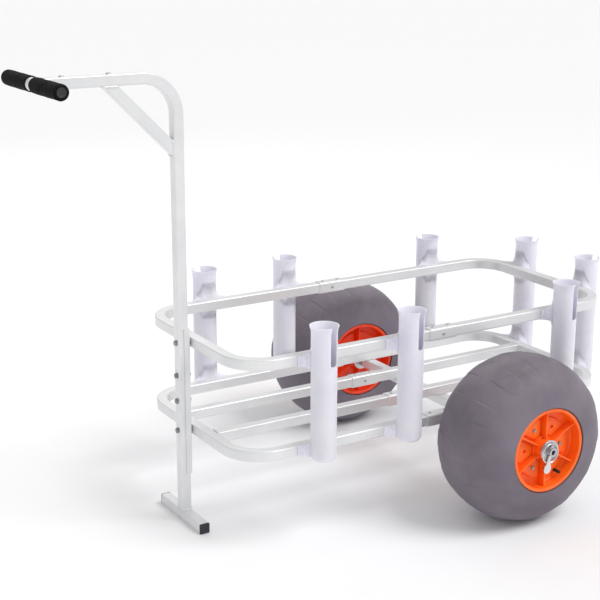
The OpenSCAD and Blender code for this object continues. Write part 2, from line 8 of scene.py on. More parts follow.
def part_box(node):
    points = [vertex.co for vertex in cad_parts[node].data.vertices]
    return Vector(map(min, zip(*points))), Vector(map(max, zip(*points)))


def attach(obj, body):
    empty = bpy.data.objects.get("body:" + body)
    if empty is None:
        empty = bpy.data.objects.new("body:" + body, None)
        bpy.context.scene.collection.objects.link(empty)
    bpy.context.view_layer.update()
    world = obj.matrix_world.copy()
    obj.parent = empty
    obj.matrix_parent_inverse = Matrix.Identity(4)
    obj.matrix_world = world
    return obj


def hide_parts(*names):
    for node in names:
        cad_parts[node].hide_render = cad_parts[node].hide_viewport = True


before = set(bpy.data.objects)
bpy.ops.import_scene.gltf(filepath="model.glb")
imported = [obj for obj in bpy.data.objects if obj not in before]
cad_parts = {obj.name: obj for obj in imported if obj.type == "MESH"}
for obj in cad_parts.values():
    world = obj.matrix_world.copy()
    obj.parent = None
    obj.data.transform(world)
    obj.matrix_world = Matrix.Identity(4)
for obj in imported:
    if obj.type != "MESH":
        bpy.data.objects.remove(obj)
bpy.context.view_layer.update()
print("frame loaded,", len(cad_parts), "nodes")

mm = 0.001
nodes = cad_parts
sides = {"left": -1, "right": 1}


def nodeBox(node):
    low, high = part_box(node)
    return np.array(low) / mm, np.array(high) / mm


def srgb(red, green, blue):
    # screen colour 0-255 to the linear values that shaders take
    c = np.array([red, green, blue]) / 255
    c = np.where(c > 0.04045, ((c + 0.055) / 1.055) ** 2.4, c / 12.92)
    return (float(c[0]), float(c[1]), float(c[2]), 1.0)


# camera first: where it stands, in metres, and how it is turned
cameraPlan = {"place": (-1.7278, -2.6756, 1.3872), "azimuth": -31.435, "elevation": 15.913,
              "roll": 0.176, "lens": 81.374, "sensor": 36.0}


def makeCamera(plan):
    data = bpy.data.cameras.new("camera")
    data.lens = plan["lens"]
    data.sensor_width = plan["sensor"]
    data.clip_start = 0.05
    data.clip_end = 60
    camera = bpy.data.objects.new("camera", data)
    bpy.context.scene.collection.objects.link(camera)
    a, e, r = (math.radians(plan[k]) for k in ("azimuth", "elevation", "roll"))
    back = Vector((math.sin(a) * math.cos(e), -math.cos(a) * math.cos(e), math.sin(e)))
    right = Vector((0, 0, 1)).cross(back).normalized()
    up = back.cross(right)
    turnedRight = right * math.cos(r) + up * math.sin(r)
    turnedUp = up * math.cos(r) - right * math.sin(r)
    turn = Matrix((turnedRight, turnedUp, back)).transposed().to_4x4()
    camera.matrix_world = Matrix.Translation(Vector(plan["place"])) @ turn
    bpy.context.scene.camera = camera
    return camera


makeCamera(cameraPlan)

# ---- surfaces: grids and profiles as arrays, in millimetres


def gridPart(grid, wrapRows=False, wrapColumns=False, uvScale=mm):
    # a part is (points, faces, uv per face corner); uv runs in metres along rows and columns
    rows, columns = grid.shape[:2]
    i = np.arange(rows if wrapRows else rows - 1)
    j = np.arange(columns if wrapColumns else columns - 1)
    a, b = np.meshgrid(i, j, indexing="ij")
    a, b = a.ravel(), b.ravel()
    a1, b1 = (a + 1) % rows, (b + 1) % columns
    faces = np.stack([a * columns + b, a1 * columns + b, a1 * columns + b1, a * columns + b1], 1)
    along = np.linalg.norm(np.diff(grid, axis=0, append=grid[:1]), axis=2).mean(1)
    across = np.linalg.norm(np.diff(grid, axis=1, append=grid[:, :1]), axis=2).mean(0)
    u = np.concatenate([[0], np.cumsum(along)]) * uvScale
    v = np.concatenate([[0], np.cumsum(across)]) * uvScale
    uv = np.stack([np.stack([u[a], v[b]], 1), np.stack([u[a + 1], v[b]], 1),
                   np.stack([u[a + 1], v[b + 1]], 1), np.stack([u[a], v[b + 1]], 1)], 1)
    return grid.reshape(-1, 3), faces.tolist(), uv.reshape(-1, 2)


def facePart(ring):
    # one flat face through a closed ring of points
    flat = ring - ring.mean(0)
    axes = np.linalg.svd(flat, full_matrices=False)[2]
    return ring, [list(range(len(ring)))], flat @ axes[:2].T * mm


def movePart(part, turn=None, shift=(0, 0, 0)):
    points = part[0] if turn is None else part[0] @ np.array(turn).T
    return points + np.array(shift, float), part[1], part[2]


def makePiece(name, parts, material, body="frame", replaced=(), sharp=32, bevel=0,
              cutters=(), weld=0.004):
    points = np.concatenate([p[0] for p in parts]) * mm
    starts = np.cumsum([0] + [len(p[0]) for p in parts[:-1]])
    faces = [[k + s for k in f] for p, s in zip(parts, starts.tolist()) for f in p[1]]
    mesh = bpy.data.meshes.new(name)
    mesh.from_pydata(points.tolist(), [], faces)
    layer = mesh.uv_layers.new(name="along")
    layer.data.foreach_set("uv", np.concatenate([p[2] for p in parts]).ravel().astype(np.float32))
    finishMesh(mesh, weld * mm)
    piece = bpy.data.objects.new(name, mesh)
    bpy.context.scene.collection.objects.link(piece)
    for cutter in cutters:
        cutPiece(piece, cutter)
    piece.data.polygons.foreach_set("use_smooth", np.ones(len(piece.data.polygons), bool))
    piece.data.set_sharp_from_angle(angle=math.radians(sharp))
    return dress(piece, material, body, replaced, bevel)


def finishMesh(mesh, weld, recalculate=True):
    # merges doubles, drops faces that have no area and turns every face outward
    work = bmesh.new()
    work.from_mesh(mesh)
    bmesh.ops.remove_doubles(work, verts=work.verts, dist=weld)
    bmesh.ops.dissolve_degenerate(work, edges=work.edges, dist=weld)
    if recalculate:
        bmesh.ops.recalc_face_normals(work, faces=work.faces)
    work.to_mesh(mesh)
    work.free()


def cutPiece(piece, cutter):
    # takes a closed part away from a piece, and keeps the result as its mesh
    mesh = bpy.data.meshes.new("cutter")
    mesh.from_pydata((cutter[0] * mm).tolist(), [], cutter[1])
    finishMesh(mesh, 1e-6)
    tool = bpy.data.objects.new("cutter", mesh)
    bpy.context.scene.collection.objects.link(tool)
    cut = piece.modifiers.new("cut", "BOOLEAN")
    cut.object = tool
    cut.operation = "DIFFERENCE"
    cut.solver = "EXACT"
    bpy.context.view_layer.update()
    result = bpy.data.meshes.new_from_object(piece.evaluated_get(bpy.context.evaluated_depsgraph_get()))
    piece.modifiers.clear()
    piece.data = result
    bpy.data.objects.remove(tool)


def dress(piece, material, body, replaced, bevel=0):
    piece.data.materials.clear()
    piece.data.materials.append(material)
    if bevel:
        edge = piece.modifiers.new("edge", "BEVEL")
        edge.width = bevel * mm
        edge.segments = 2
        edge.limit_method = "ANGLE"
        edge.angle_limit = math.radians(35)
        edge.harden_normals = True
    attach(piece, body)
    if replaced:
        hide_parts(*replaced)
    return piece


def smoothCopy(node, name, material, body="frame", bevel=0.35, sharp=30):
    # a merged copy of a CAD node, with smooth round faces and small broken edges
    mesh = nodes[node].data.copy()
    mesh.materials.clear()
    finishMesh(mesh, 0.004 * mm)
    work = bmesh.new()
    work.from_mesh(mesh)
    bmesh.ops.dissolve_limit(work, angle_limit=math.radians(0.5), verts=work.verts, edges=work.edges)
    work.to_mesh(mesh)
    work.free()
    mesh.name = name
    piece = bpy.data.objects.new(name, mesh)
    bpy.context.scene.collection.objects.link(piece)
    mesh.polygons.foreach_set("use_smooth", np.ones(len(mesh.polygons), bool))
    mesh.set_sharp_from_angle(angle=math.radians(sharp))
    return dress(piece, material, body, (node,), bevel)


def squareOutline(side, corner, steps=5, hold=0.5):
    # rounded square: a quarter circle on each corner, with a holding point beside each end of it
    a = np.radians(np.linspace(0, 90, steps + 1))
    c = side / 2 - corner
    quarter = np.concatenate([[[side / 2, c - hold]],
                              np.stack([c + corner * np.cos(a), c + corner * np.sin(a)], 1),
                              [[c - hold, side / 2]]])
    turns = [np.array([[0, -1], [1, 0]])] * 3
    out = [quarter]
    for turn in turns:
        out.append(out[-1] @ turn.T)
    return np.concatenate(out)


def roundedPath(corners, radius, steps=24):
    # polyline whose inner corners are arcs; gives points and unit tangents
    corners = np.array(corners, float)
    steps3 = np.diff(corners, axis=0)
    ways = steps3 / np.linalg.norm(steps3, axis=1)[:, None]
    points, tangents = [corners[:1]], [ways[:1]]
    for k in range(1, len(corners) - 1):
        before, after = ways[k - 1], ways[k]
        angle = math.acos(float(np.clip(before @ after, -1, 1)))
        inward = after - before * (before @ after)
        inward /= np.linalg.norm(inward)
        start = corners[k] - before * radius * math.tan(angle / 2)
        t = np.linspace(0, angle, steps + 1)[:, None]
        arc = start + before * radius * np.sin(t) + inward * radius * (1 - np.cos(t))
        points += [start[None] - before * 3, arc, arc[-1:] + after * 3]
        tangents += [before[None], before * np.cos(t) + inward * np.sin(t), after[None]]
    points.append(corners[-1:])
    tangents.append(ways[-1:])
    return np.concatenate(points), np.concatenate(tangents)


def sweepGrid(points, tangents, up, outline):
    # outline x goes along cross(up, tangent), outline y along up
    up = np.array(up, float)
    side = np.cross(up, tangents)
    side /= np.linalg.norm(side, axis=1)[:, None]
    return points[:, None] + outline[None, :, :1] * side[:, None] + outline[None, :, 1:] * up


def cutGrid(grid, tangent, row, place, normal):
    # slides one end row along the tangent until it lies in a plane
    normal = np.array(normal, float)
    reach = ((np.array(place) - grid[row]) @ normal) / (tangent @ normal)
    grid[row] = grid[row] + reach[:, None] * tangent
    return grid


def hollowTube(corners, up, tube, radius=85, cuts=()):
    # square tube with its wall: outer surface out along the path, inner surface back
    points, tangents = roundedPath(corners, radius)
    outer = sweepGrid(points, tangents, up, squareOutline(tube["side"], tube["corner"]))
    inner = sweepGrid(points, tangents, up,
                      squareOutline(tube["side"] - 2 * tube["wall"], tube["corner"] - tube["wall"], hold=0.4))
    for row, place, normal in cuts:
        cutGrid(outer, tangents[row], row, place, normal)
        cutGrid(inner, tangents[row], row, place, normal)
    return gridPart(np.concatenate([outer, inner[::-1]]), wrapRows=True, wrapColumns=True)


def revolve(profile, steps=64, wrap=False):
    # (radius, height) profile turned round Z; wrap joins the profile's end to its start
    profile = np.array(profile, float)
    a = np.linspace(0, 2 * math.pi, steps, endpoint=False)
    grid = np.stack([profile[:, :1] * np.cos(a), profile[:, :1] * np.sin(a),
                     np.repeat(profile[:, 1:], steps, 1)], 2)
    return gridPart(grid, wrapRows=wrap, wrapColumns=True)


def softProfile(corners, radius, steps=3):
    # (radius, height) polyline with every inner corner rounded; one radius or one for each corner
    corners = np.array(corners, float)
    radii = np.broadcast_to(radius, len(corners))
    out = [corners[:1]]
    for k in range(1, len(corners) - 1):
        a, b, c = corners[k - 1], corners[k], corners[k + 1]
        r = min(radii[k], np.linalg.norm(a - b) * 0.49, np.linalg.norm(c - b) * 0.49)
        start = b + (a - b) / np.linalg.norm(a - b) * r
        end = b + (c - b) / np.linalg.norm(c - b) * r
        t = np.linspace(0, 1, steps + 1)[:, None]
        out.append((1 - t) ** 2 * start + 2 * t * (1 - t) * b + t ** 2 * end)
    out.append(corners[-1:])
    return np.concatenate(out)


def facing(axis):
    # rotation that takes +Z to the given axis
    z = np.array(axis, float) / np.linalg.norm(axis)
    x = np.cross([0, 1, 0] if abs(z[1]) < 0.9 else [1, 0, 0], z)
    x /= np.linalg.norm(x)
    return np.stack([x, np.cross(z, x), z], 1)


def hexRadius(a, corner):
    # distance from the middle of a hexagon to its outline at each angle
    return corner * math.cos(math.pi / 6) / np.cos((a % (math.pi / 3)) - math.pi / 6)


def polarPart(radii, heights, angles, closeStart=True):
    # grid of radius and height over angle, each an array of rows by angles
    grid = np.stack([radii * np.cos(angles), radii * np.sin(angles), heights], 2)
    return gridPart(grid, wrapColumns=True)


def hexHead(corner, height, washer=0, bore=0, steps=48):
    # hexagon whose top is turned down by a 30 degree cone, with a washer face under it
    a = np.linspace(0, 2 * math.pi, steps, endpoint=False)
    h = hexRadius(a, corner)
    flat = corner * math.cos(math.pi / 6) * 0.97
    top = height - (h - flat) * math.tan(math.radians(28))
    one = np.ones_like(a)
    base = 0.6 if washer else 0.0
    radii = [one * bore, one * max(flat, washer)] + ([one * washer, h] if washer else [h]) + [
        h, one * flat, one * max(bore + (0.8 if bore else 0), 0), one * bore]
    heights = [0 * one, 0 * one] + ([one * base, one * base] if washer else [0 * one]) + [
        top, one * height, one * height, one * (height - (0.8 if bore else 0))]
    grid = np.stack([np.array(radii) * np.cos(a), np.array(radii) * np.sin(a), np.array(heights)], 2)
    return gridPart(grid, wrapRows=bool(bore), wrapColumns=True)


def domeHead(radius, height, drive="cross", deep=1.2, steps=32):
    # rounded head: circle rings to a flat, then a driver recess whose outline is a cross or a hexagon
    a = np.linspace(0, 2 * math.pi, steps, endpoint=False)
    one = np.ones_like(a)
    if drive == "cross":
        recess = radius * (0.12 + 0.42 * np.abs(np.cos(2 * a)) ** 2.2)
    else:
        recess = hexRadius(a, radius * 0.5)
    t = np.linspace(0, math.pi / 2 * 0.72, 5)
    radii = [one * 0, one * radius] + [one * radius * (0.45 + 0.55 * math.cos(x)) for x in t]
    heights = [one * 0, one * 0] + [one * height * (0.25 + 0.75 * math.sin(x) / math.sin(t[-1])) for x in t]
    radii += [recess, recess * 0.8, one * 0]
    heights += [one * height, one * (height - deep), one * (height - deep * 1.15)]
    grid = np.stack([np.array(radii) * np.cos(a), np.array(radii) * np.sin(a), np.array(heights)], 2)
    return gridPart(grid, wrapColumns=True)


def rodPart(radius, length, chamfer=0.4, steps=24, bore=0):
    # plain turned rod along Z with broken ends, hollow if it has a bore
    inner = bore
    profile = [[inner, 0], [radius - chamfer, 0], [radius, chamfer], [radius, length - chamfer],
               [radius - chamfer, length], [inner, length]]
    return revolve(profile, steps, wrap=bool(bore))


def weldBead(path, normalOut, size=2.6, pitch=3.4):
    # round bead along a closed path whose radius swells in steps, like stacked coins
    path = np.array(path, float)
    step = np.roll(path, -1, 0) - path
    length = np.linalg.norm(step, axis=1)
    total = length.sum()
    count = max(int(total / 1.1), 12)
    s = np.linspace(0, total, count, endpoint=False)
    edges = np.concatenate([[0], np.cumsum(length)])
    closed = np.concatenate([path, path[:1]])
    line = np.stack([np.interp(s, edges, closed[:, k]) for k in range(3)], 1)
    tangent = np.roll(line, -1, 0) - np.roll(line, 1, 0)
    tangent /= np.linalg.norm(tangent, axis=1)[:, None]
    side = np.cross(tangent, np.array(normalOut, float))
    side /= np.linalg.norm(side, axis=1)[:, None]
    up = np.cross(side, tangent)
    waves = total / pitch
    r = size * (0.86 + 0.14 * np.abs(np.sin(math.pi * waves * s / total)))
    a = np.linspace(0, 2 * math.pi, 10, endpoint=False)
    grid = line[:, None] + r[:, None, None] * (np.cos(a)[None, :, None] * side[:, None]
                                               + np.sin(a)[None, :, None] * up[:, None])
    return gridPart(grid, wrapRows=True, wrapColumns=True)


# ---- finishes: shared node groups first, then one material for each finish


def addNode(tree, kind, inputs=None, **settings):
    node = tree.nodes.new(kind)
    for key, value in settings.items():
        setattr(node, key, value)
    for key, value in (inputs or {}).items():
        if isinstance(value, bpy.types.NodeSocket):
            tree.links.new(value, node.inputs[key])
        else:
            node.inputs[key].default_value = value
    return node


def newGroup(name, inputs, outputs):
    tree = bpy.data.node_groups.new(name, "ShaderNodeTree")
    for label, kind, value in inputs:
        socket = tree.interface.new_socket(name=label, in_out="INPUT", socket_type=kind)
        if value is not None:
            socket.default_value = value
    for label in outputs:
        tree.interface.new_socket(name=label, in_out="OUTPUT", socket_type="NodeSocketFloat")
    return tree, tree.nodes.new("NodeGroupInput").outputs, tree.nodes.new("NodeGroupOutput").inputs


def mathNode(tree, operation, *values, clamp=False):
    node = addNode(tree, "ShaderNodeMath", dict(enumerate(values)), operation=operation, use_clamp=clamp)
    return node.outputs[0]


def remap(tree, value, low, high, toLow=0.0, toHigh=1.0):
    node = addNode(tree, "ShaderNodeMapRange", {"Value": value, "From Min": low, "From Max": high,
                                                "To Min": toLow, "To Max": toHigh})
    return node.outputs[0]


def mixColour(tree, factor, first, second):
    node = addNode(tree, "ShaderNodeMix", {0: factor, 6: first, 7: second}, data_type="RGBA")
    return node.outputs[2]


vectorSocket, floatSocket = "NodeSocketVector", "NodeSocketFloat"


def makeDrawnLines():
    # long fine die lines: two noises squeezed across the drawing direction, the coordinate's first axis
    tree, given, out = newGroup("drawnLines", [("Vector", vectorSocket, None), ("Across", floatSocket, 900.0),
                                               ("Along", floatSocket, 3.0)], ["Lines", "Bands"])
    parts = addNode(tree, "ShaderNodeSeparateXYZ", {0: given["Vector"]})
    for label, share in (("Lines", 1.0), ("Bands", 0.16)):
        x = mathNode(tree, "MULTIPLY", parts.outputs[0], given["Along"])
        y = mathNode(tree, "MULTIPLY", mathNode(tree, "MULTIPLY", parts.outputs[1], given["Across"]), share)
        z = mathNode(tree, "MULTIPLY", mathNode(tree, "MULTIPLY", parts.outputs[2], given["Across"]), share)
        place = addNode(tree, "ShaderNodeCombineXYZ", {0: x, 1: y, 2: z})
        noise = addNode(tree, "ShaderNodeTexNoise", {"Vector": place.outputs[0], "Scale": 1.0, "Detail": 3.0})
        tree.links.new(noise.outputs[0], out[label])
    return tree


def makeHandling():
    # what use leaves: broad smudges, hair scratches and specks of sand dust
    tree, given, out = newGroup("handling", [("Vector", vectorSocket, None), ("Smudge Scale", floatSocket, 9.0),
                                             ("Speck Scale", floatSocket, 420.0)],
                                ["Smudge", "Scratch", "Speck"])
    smudge = addNode(tree, "ShaderNodeTexNoise", {"Vector": given["Vector"], "Scale": given["Smudge Scale"],
                                                  "Detail": 5.0, "Roughness": 0.62, "Distortion": 0.4})
    tree.links.new(remap(tree, smudge.outputs[0], 0.35, 0.68), out["Smudge"])
    warp = addNode(tree, "ShaderNodeTexNoise", {"Vector": given["Vector"], "Scale": 35.0, "Detail": 2.0,
                                                "Distortion": 2.2})
    away = mathNode(tree, "ABSOLUTE", mathNode(tree, "SUBTRACT", warp.outputs[0], 0.5))
    broken = addNode(tree, "ShaderNodeTexNoise", {"Vector": given["Vector"], "Scale": 22.0, "Detail": 1.0})
    line = remap(tree, away, 0.0, 0.006, 1.0, 0.0)
    tree.links.new(mathNode(tree, "MULTIPLY", line, remap(tree, broken.outputs[0], 0.52, 0.6), clamp=True),
                   out["Scratch"])
    speck = addNode(tree, "ShaderNodeTexVoronoi", {"Vector": given["Vector"], "Scale": given["Speck Scale"]})
    tree.links.new(remap(tree, speck.outputs["Distance"], 0.12, 0.2, 1.0, 0.0), out["Speck"])
    return tree


def makeDustFilm():
    # dust that settles on faces that look up, broken by noise
    tree, given, out = newGroup("dustFilm", [("Vector", vectorSocket, None), ("Amount", floatSocket, 0.3)],
                                ["Dust"])
    normal = addNode(tree, "ShaderNodeNewGeometry")
    upward = addNode(tree, "ShaderNodeSeparateXYZ", {0: normal.outputs["Normal"]})
    patch = addNode(tree, "ShaderNodeTexNoise", {"Vector": given["Vector"], "Scale": 28.0, "Detail": 6.0,
                                                 "Roughness": 0.7})
    film = mathNode(tree, "MULTIPLY", remap(tree, upward.outputs[2], 0.1, 1.0),
                    remap(tree, patch.outputs[0], 0.38, 0.7))
    tree.links.new(mathNode(tree, "MULTIPLY", film, given["Amount"], clamp=True), out["Dust"])
    return tree


def makeGrain():
    # fine even grain and soft lumps, for moulded and foamed surfaces
    tree, given, out = newGroup("grain", [("Vector", vectorSocket, None), ("Fine", floatSocket, 900.0),
                                          ("Lumps", floatSocket, 60.0), ("Pores", floatSocket, 500.0)],
                                ["Fine", "Lumps", "Pores"])
    for label in ("Fine", "Lumps"):
        noise = addNode(tree, "ShaderNodeTexNoise", {"Vector": given["Vector"], "Scale": given[label],
                                                     "Detail": 4.0, "Roughness": 0.6})
        tree.links.new(noise.outputs[0], out[label])
    cells = addNode(tree, "ShaderNodeTexVoronoi", {"Vector": given["Vector"], "Scale": given["Pores"]})
    tree.links.new(remap(tree, cells.outputs["Distance"], 0.05, 0.55), out["Pores"])
    return tree


groups = {"drawnLines": makeDrawnLines(), "handling": makeHandling(), "dustFilm": makeDustFilm(),
          "grain": makeGrain()}


def groupNode(tree, name, inputs):
    node = tree.nodes.new("ShaderNodeGroup")
    node.node_tree = groups[name]
    for key, value in inputs.items():
        if isinstance(value, bpy.types.NodeSocket):
            tree.links.new(value, node.inputs[key])
        else:
            node.inputs[key].default_value = value
    return node.outputs


sandDust = srgb(205, 196, 180)


def finish(name, plan):
    # one finish from its plan: two tones, roughness range, grain, lines and dust
    material = bpy.data.materials.new(name)
    material.use_nodes = True
    tree = material.node_tree
    shader = tree.nodes["Principled BSDF"]
    coords = addNode(tree, "ShaderNodeTexCoord")
    place = coords.outputs["Object"]
    along = place
    if plan.get("along") == "uv":
        along = addNode(tree, "ShaderNodeUVMap", uv_map="along").outputs[0]
    elif plan.get("along"):
        # turns the drawing direction onto the first axis
        along = addNode(tree, "ShaderNodeMapping", {"Vector": place, "Rotation": plan["along"]}).outputs[0]
    use = groupNode(tree, "handling", {"Vector": place, "Smudge Scale": plan.get("smudge", 9.0),
                                       "Speck Scale": plan.get("speck", 420.0)})
    grain = groupNode(tree, "grain", {"Vector": place, "Fine": plan.get("fine", 900.0),
                                      "Lumps": plan.get("lumps", 60.0), "Pores": plan.get("pores", 500.0)})
    tone = use["Smudge"]
    low, high = plan["rough"]
    rough = remap(tree, use["Smudge"], 0.0, 1.0, low, high)
    height = mathNode(tree, "MULTIPLY", grain["Fine"], plan.get("fineShare", 0.5))
    height = mathNode(tree, "ADD", height, mathNode(tree, "MULTIPLY", grain["Lumps"], plan.get("lumpShare", 0.5)))
    if plan.get("poreShare"):
        height = mathNode(tree, "ADD", height, mathNode(tree, "MULTIPLY", grain["Pores"], plan["poreShare"]))
        tone = mathNode(tree, "MULTIPLY", tone, grain["Pores"])
    if plan.get("along"):
        lines = groupNode(tree, "drawnLines", {"Vector": along, "Across": plan.get("across", 900.0),
                                               "Along": plan.get("drawn", 3.0)})
        rough = mathNode(tree, "ADD", rough, remap(tree, lines["Lines"], 0.3, 0.7, -0.05, 0.05), clamp=True)
        tone = mathNode(tree, "MULTIPLY", mathNode(tree, "ADD", tone, lines["Bands"]), 0.6, clamp=True)
        height = mathNode(tree, "ADD", height, mathNode(tree, "MULTIPLY", lines["Lines"], plan.get("lineShare", 0.5)))
    colour = mixColour(tree, tone, plan["base"], plan["shade"])
    if plan.get("scratch"):
        mask = mathNode(tree, "MULTIPLY", use["Scratch"], plan["scratch"])
        colour = mixColour(tree, mask, colour, plan.get("scratchColour", plan["base"]))
        rough = mathNode(tree, "ADD", rough, mathNode(tree, "MULTIPLY", mask, 0.12), clamp=True)
    if plan.get("dust"):
        film = groupNode(tree, "dustFilm", {"Vector": place, "Amount": plan["dust"]})["Dust"]
        colour = mixColour(tree, film, colour, sandDust)
        speck = mathNode(tree, "MULTIPLY", use["Speck"], plan["dust"] * 0.35)
        colour = mixColour(tree, speck, colour, sandDust)
        rough = mathNode(tree, "ADD", rough, mathNode(tree, "MULTIPLY", film, 0.3), clamp=True)
    tree.links.new(colour, shader.inputs["Base Color"])
    tree.links.new(rough, shader.inputs["Roughness"])
    bump = addNode(tree, "ShaderNodeBump", {"Height": height, "Strength": plan.get("bump", 0.2),
                                            "Distance": plan.get("depth", 0.0004)})
    tree.links.new(bump.outputs[0], shader.inputs["Normal"])
    shader.inputs["Metallic"].default_value = plan.get("metallic", 0.0)
    for socket, value in plan.get("shader", {}).items():
        shader.inputs[socket].default_value = value
    return material


quarterTurn = math.pi / 2
satinAluminium = {"base": srgb(234, 234, 234), "shade": srgb(220, 221, 222), "rough": (0.3, 0.42), "metallic": 0.38,
                  "along": "uv", "across": 1100.0, "drawn": 2.5, "bump": 0.12, "depth": 0.0002, "dust": 0.05,
                  "scratch": 0.25, "scratchColour": srgb(200, 200, 202), "fineShare": 0.2, "lumpShare": 0.1}
finishes = {
    "tubeAluminium": satinAluminium,
    "weldAluminium": {**satinAluminium, "base": srgb(236, 236, 235), "shade": srgb(222, 222, 222),
                      "rough": (0.34, 0.5), "along": None, "bump": 0.35},
    "channelAluminium": {**satinAluminium, "along": (0, quarterTurn, 0)},
    "holderPlastic": {"base": srgb(236, 234, 246), "shade": srgb(226, 223, 240), "rough": (0.3, 0.42),
                      "bump": 0.12, "depth": 0.0003, "lumps": 30.0, "dust": 0.04,
                      "shader": {"Subsurface Weight": 0.35, "Subsurface Radius": (0.012, 0.011, 0.014),
                                 "Subsurface Scale": 1.0, "Specular IOR Level": 0.45}},
    "tyreRubber": {"base": srgb(122, 113, 124), "shade": srgb(104, 96, 107), "rough": (0.5, 0.66), "smudge": 5.0,
                   "bump": 0.3, "depth": 0.0005, "fine": 1400.0, "lumps": 45.0, "dust": 0.1,
                   "scratch": 0.12, "scratchColour": srgb(134, 128, 136)},
    "hubPlastic": {"base": srgb(255, 116, 24), "shade": srgb(254, 98, 14), "rough": (0.3, 0.45), "smudge": 16.0,
                   "bump": 0.1, "depth": 0.0003, "dust": 0.03, "scratch": 0.1,
                   "scratchColour": srgb(255, 140, 80),
                   "shader": {"Subsurface Weight": 0.08, "Subsurface Radius": (0.006, 0.002, 0.001),
                              "Subsurface Scale": 1.0}},
    # inner hub halves: a darker, redder copy of the hub plastic, painted shade for the faces that turn in under the
    # frame
    "hubInnerPlastic": {"base": srgb(250, 74, 16), "shade": srgb(240, 56, 10), "rough": (0.34, 0.5), "smudge": 16.0,
                        "bump": 0.1, "depth": 0.0003, "dust": 0.06, "scratch": 0.1,
                        "scratchColour": srgb(255, 120, 70)},
    "gripFoam": {"base": srgb(17, 17, 18), "shade": srgb(8, 8, 9), "rough": (0.78, 0.92), "bump": 0.6,
                 "depth": 0.0006, "pores": 950.0, "poreShare": 0.9, "smudge": 20.0, "fineShare": 0.4,
                 "dust": 0.02, "shader": {"Specular IOR Level": 0.14}},
    "capRubber": {"base": srgb(46, 46, 58), "shade": srgb(34, 34, 44), "rough": (0.5, 0.65), "bump": 0.25,
                  "depth": 0.0004, "dust": 0.14, "scratch": 0.2, "scratchColour": srgb(80, 80, 90)},
    "blackNylon": {"base": srgb(40, 40, 44), "shade": srgb(28, 28, 31), "rough": (0.42, 0.55), "bump": 0.15,
                   "depth": 0.0003, "dust": 0.08},
    "zincSteel": {"base": srgb(208, 208, 208), "shade": srgb(186, 187, 190), "rough": (0.26, 0.42),
                  "metallic": 1.0, "bump": 0.15, "depth": 0.0002, "scratch": 0.3, "lumps": 200.0,
                  "scratchColour": srgb(214, 214, 214)},
    "brightSteel": {"base": srgb(226, 226, 228), "shade": srgb(204, 204, 208), "rough": (0.16, 0.3),
                    "metallic": 1.0, "bump": 0.08, "depth": 0.0002, "scratch": 0.3,
                    "scratchColour": srgb(180, 180, 184)},
    "darkSteel": {"base": srgb(158, 158, 160), "shade": srgb(134, 135, 139), "rough": (0.3, 0.46),
                  "metallic": 1.0, "bump": 0.15, "depth": 0.0002, "scratch": 0.3,
                  "scratchColour": srgb(170, 170, 172)},
}
made = {name: finish(name, plan) for name, plan in finishes.items()}
print("finishes:", ", ".join(made))

# floor and light: one broad sun and an even sky

stagePlan = {"floor": srgb(247, 247, 248), "half": 60.0, "sky": (1.0, 1.0, 1.0, 1.0), "skyStrength": 0.6,
             "sun": (0.75, -0.9, 1.5), "sunStrength": 1.75, "sunAngle": 34.0,
             "lamps": [("fill", (-3.4, -2.6, 2.4), 2.5, 12.0), ("back", (0.6, 3.6, 3.2), 2.5, 22.0)],
             "aim": (0.1, 0.0, 0.4)}


def placeLamp(name, lamp, place, aim):
    lampObject = bpy.data.objects.new(name, lamp)
    bpy.context.scene.collection.objects.link(lampObject)
    way = (Vector(aim) - Vector(place)).to_track_quat("-Z", "Y")
    lampObject.matrix_world = Matrix.Translation(Vector(place)) @ way.to_matrix().to_4x4()


def makeStage(plan):
    half = plan["half"]
    mesh = bpy.data.meshes.new("floor")
    mesh.from_pydata([(-half, -half, 0), (half, -half, 0), (half, half, 0), (-half, half, 0)], [], [(0, 1, 2, 3)])
    floor = bpy.data.objects.new("floor", mesh)
    bpy.context.scene.collection.objects.link(floor)
    material = bpy.data.materials.new("paleFloor")
    material.use_nodes = True
    shader = material.node_tree.nodes["Principled BSDF"]
    shader.inputs["Base Color"].default_value = plan["floor"]
    shader.inputs["Roughness"].default_value = 0.8
    shader.inputs["Specular IOR Level"].default_value = 0.1
    mesh.materials.append(material)
    world = bpy.data.worlds.new("studio")
    world.use_nodes = True
    world.node_tree.nodes["Background"].inputs[0].default_value = plan["sky"]
    world.node_tree.nodes["Background"].inputs[1].default_value = plan["skyStrength"]
    bpy.context.scene.world = world
    sun = bpy.data.lights.new("key", "SUN")
    sun.energy = plan["sunStrength"]
    sun.angle = math.radians(plan["sunAngle"])
    placeLamp("key", sun, plan["sun"], (0, 0, 0))
    for name, place, size, power in plan["lamps"]:
        lamp = bpy.data.lights.new(name, "AREA")
        lamp.size = size
        lamp.energy = power
        placeLamp(name, lamp, place, plan["aim"])


makeStage(stagePlan)
bpy.context.scene.view_settings.view_transform = "Standard"

# ---- frame: rings, slats, sleeves and cross tube

tube = {"side": 25.4, "corner": 3.4, "wall": 2.0, "bend": 85.0, "edge": 0.35}
boxes = {name: nodeBox(name) for name in nodes}


def middle(node):
    low, high = boxes[node]
    return (low + high) / 2


def makeRings():
    for level in ("upper", "lower"):
        for end, way in (("front", 1), ("rear", -1)):
            node = level + "_ring_" + end
            low, high = boxes[node]
            z = (low[2] + high[2]) / 2
            rail = high[1] - tube["side"] / 2
            joint, outer = (high[0], low[0]) if way > 0 else (low[0], high[0])
            x = outer + way * tube["side"] / 2
            corners = [(joint, -rail, z), (x, -rail, z), (x, rail, z), (joint, rail, z)]
            makePiece(level + "Ring" + end.title(), [hollowTube(corners, (0, 0, 1), tube, tube["bend"])],
                      made["tubeAluminium"], replaced=(node,))


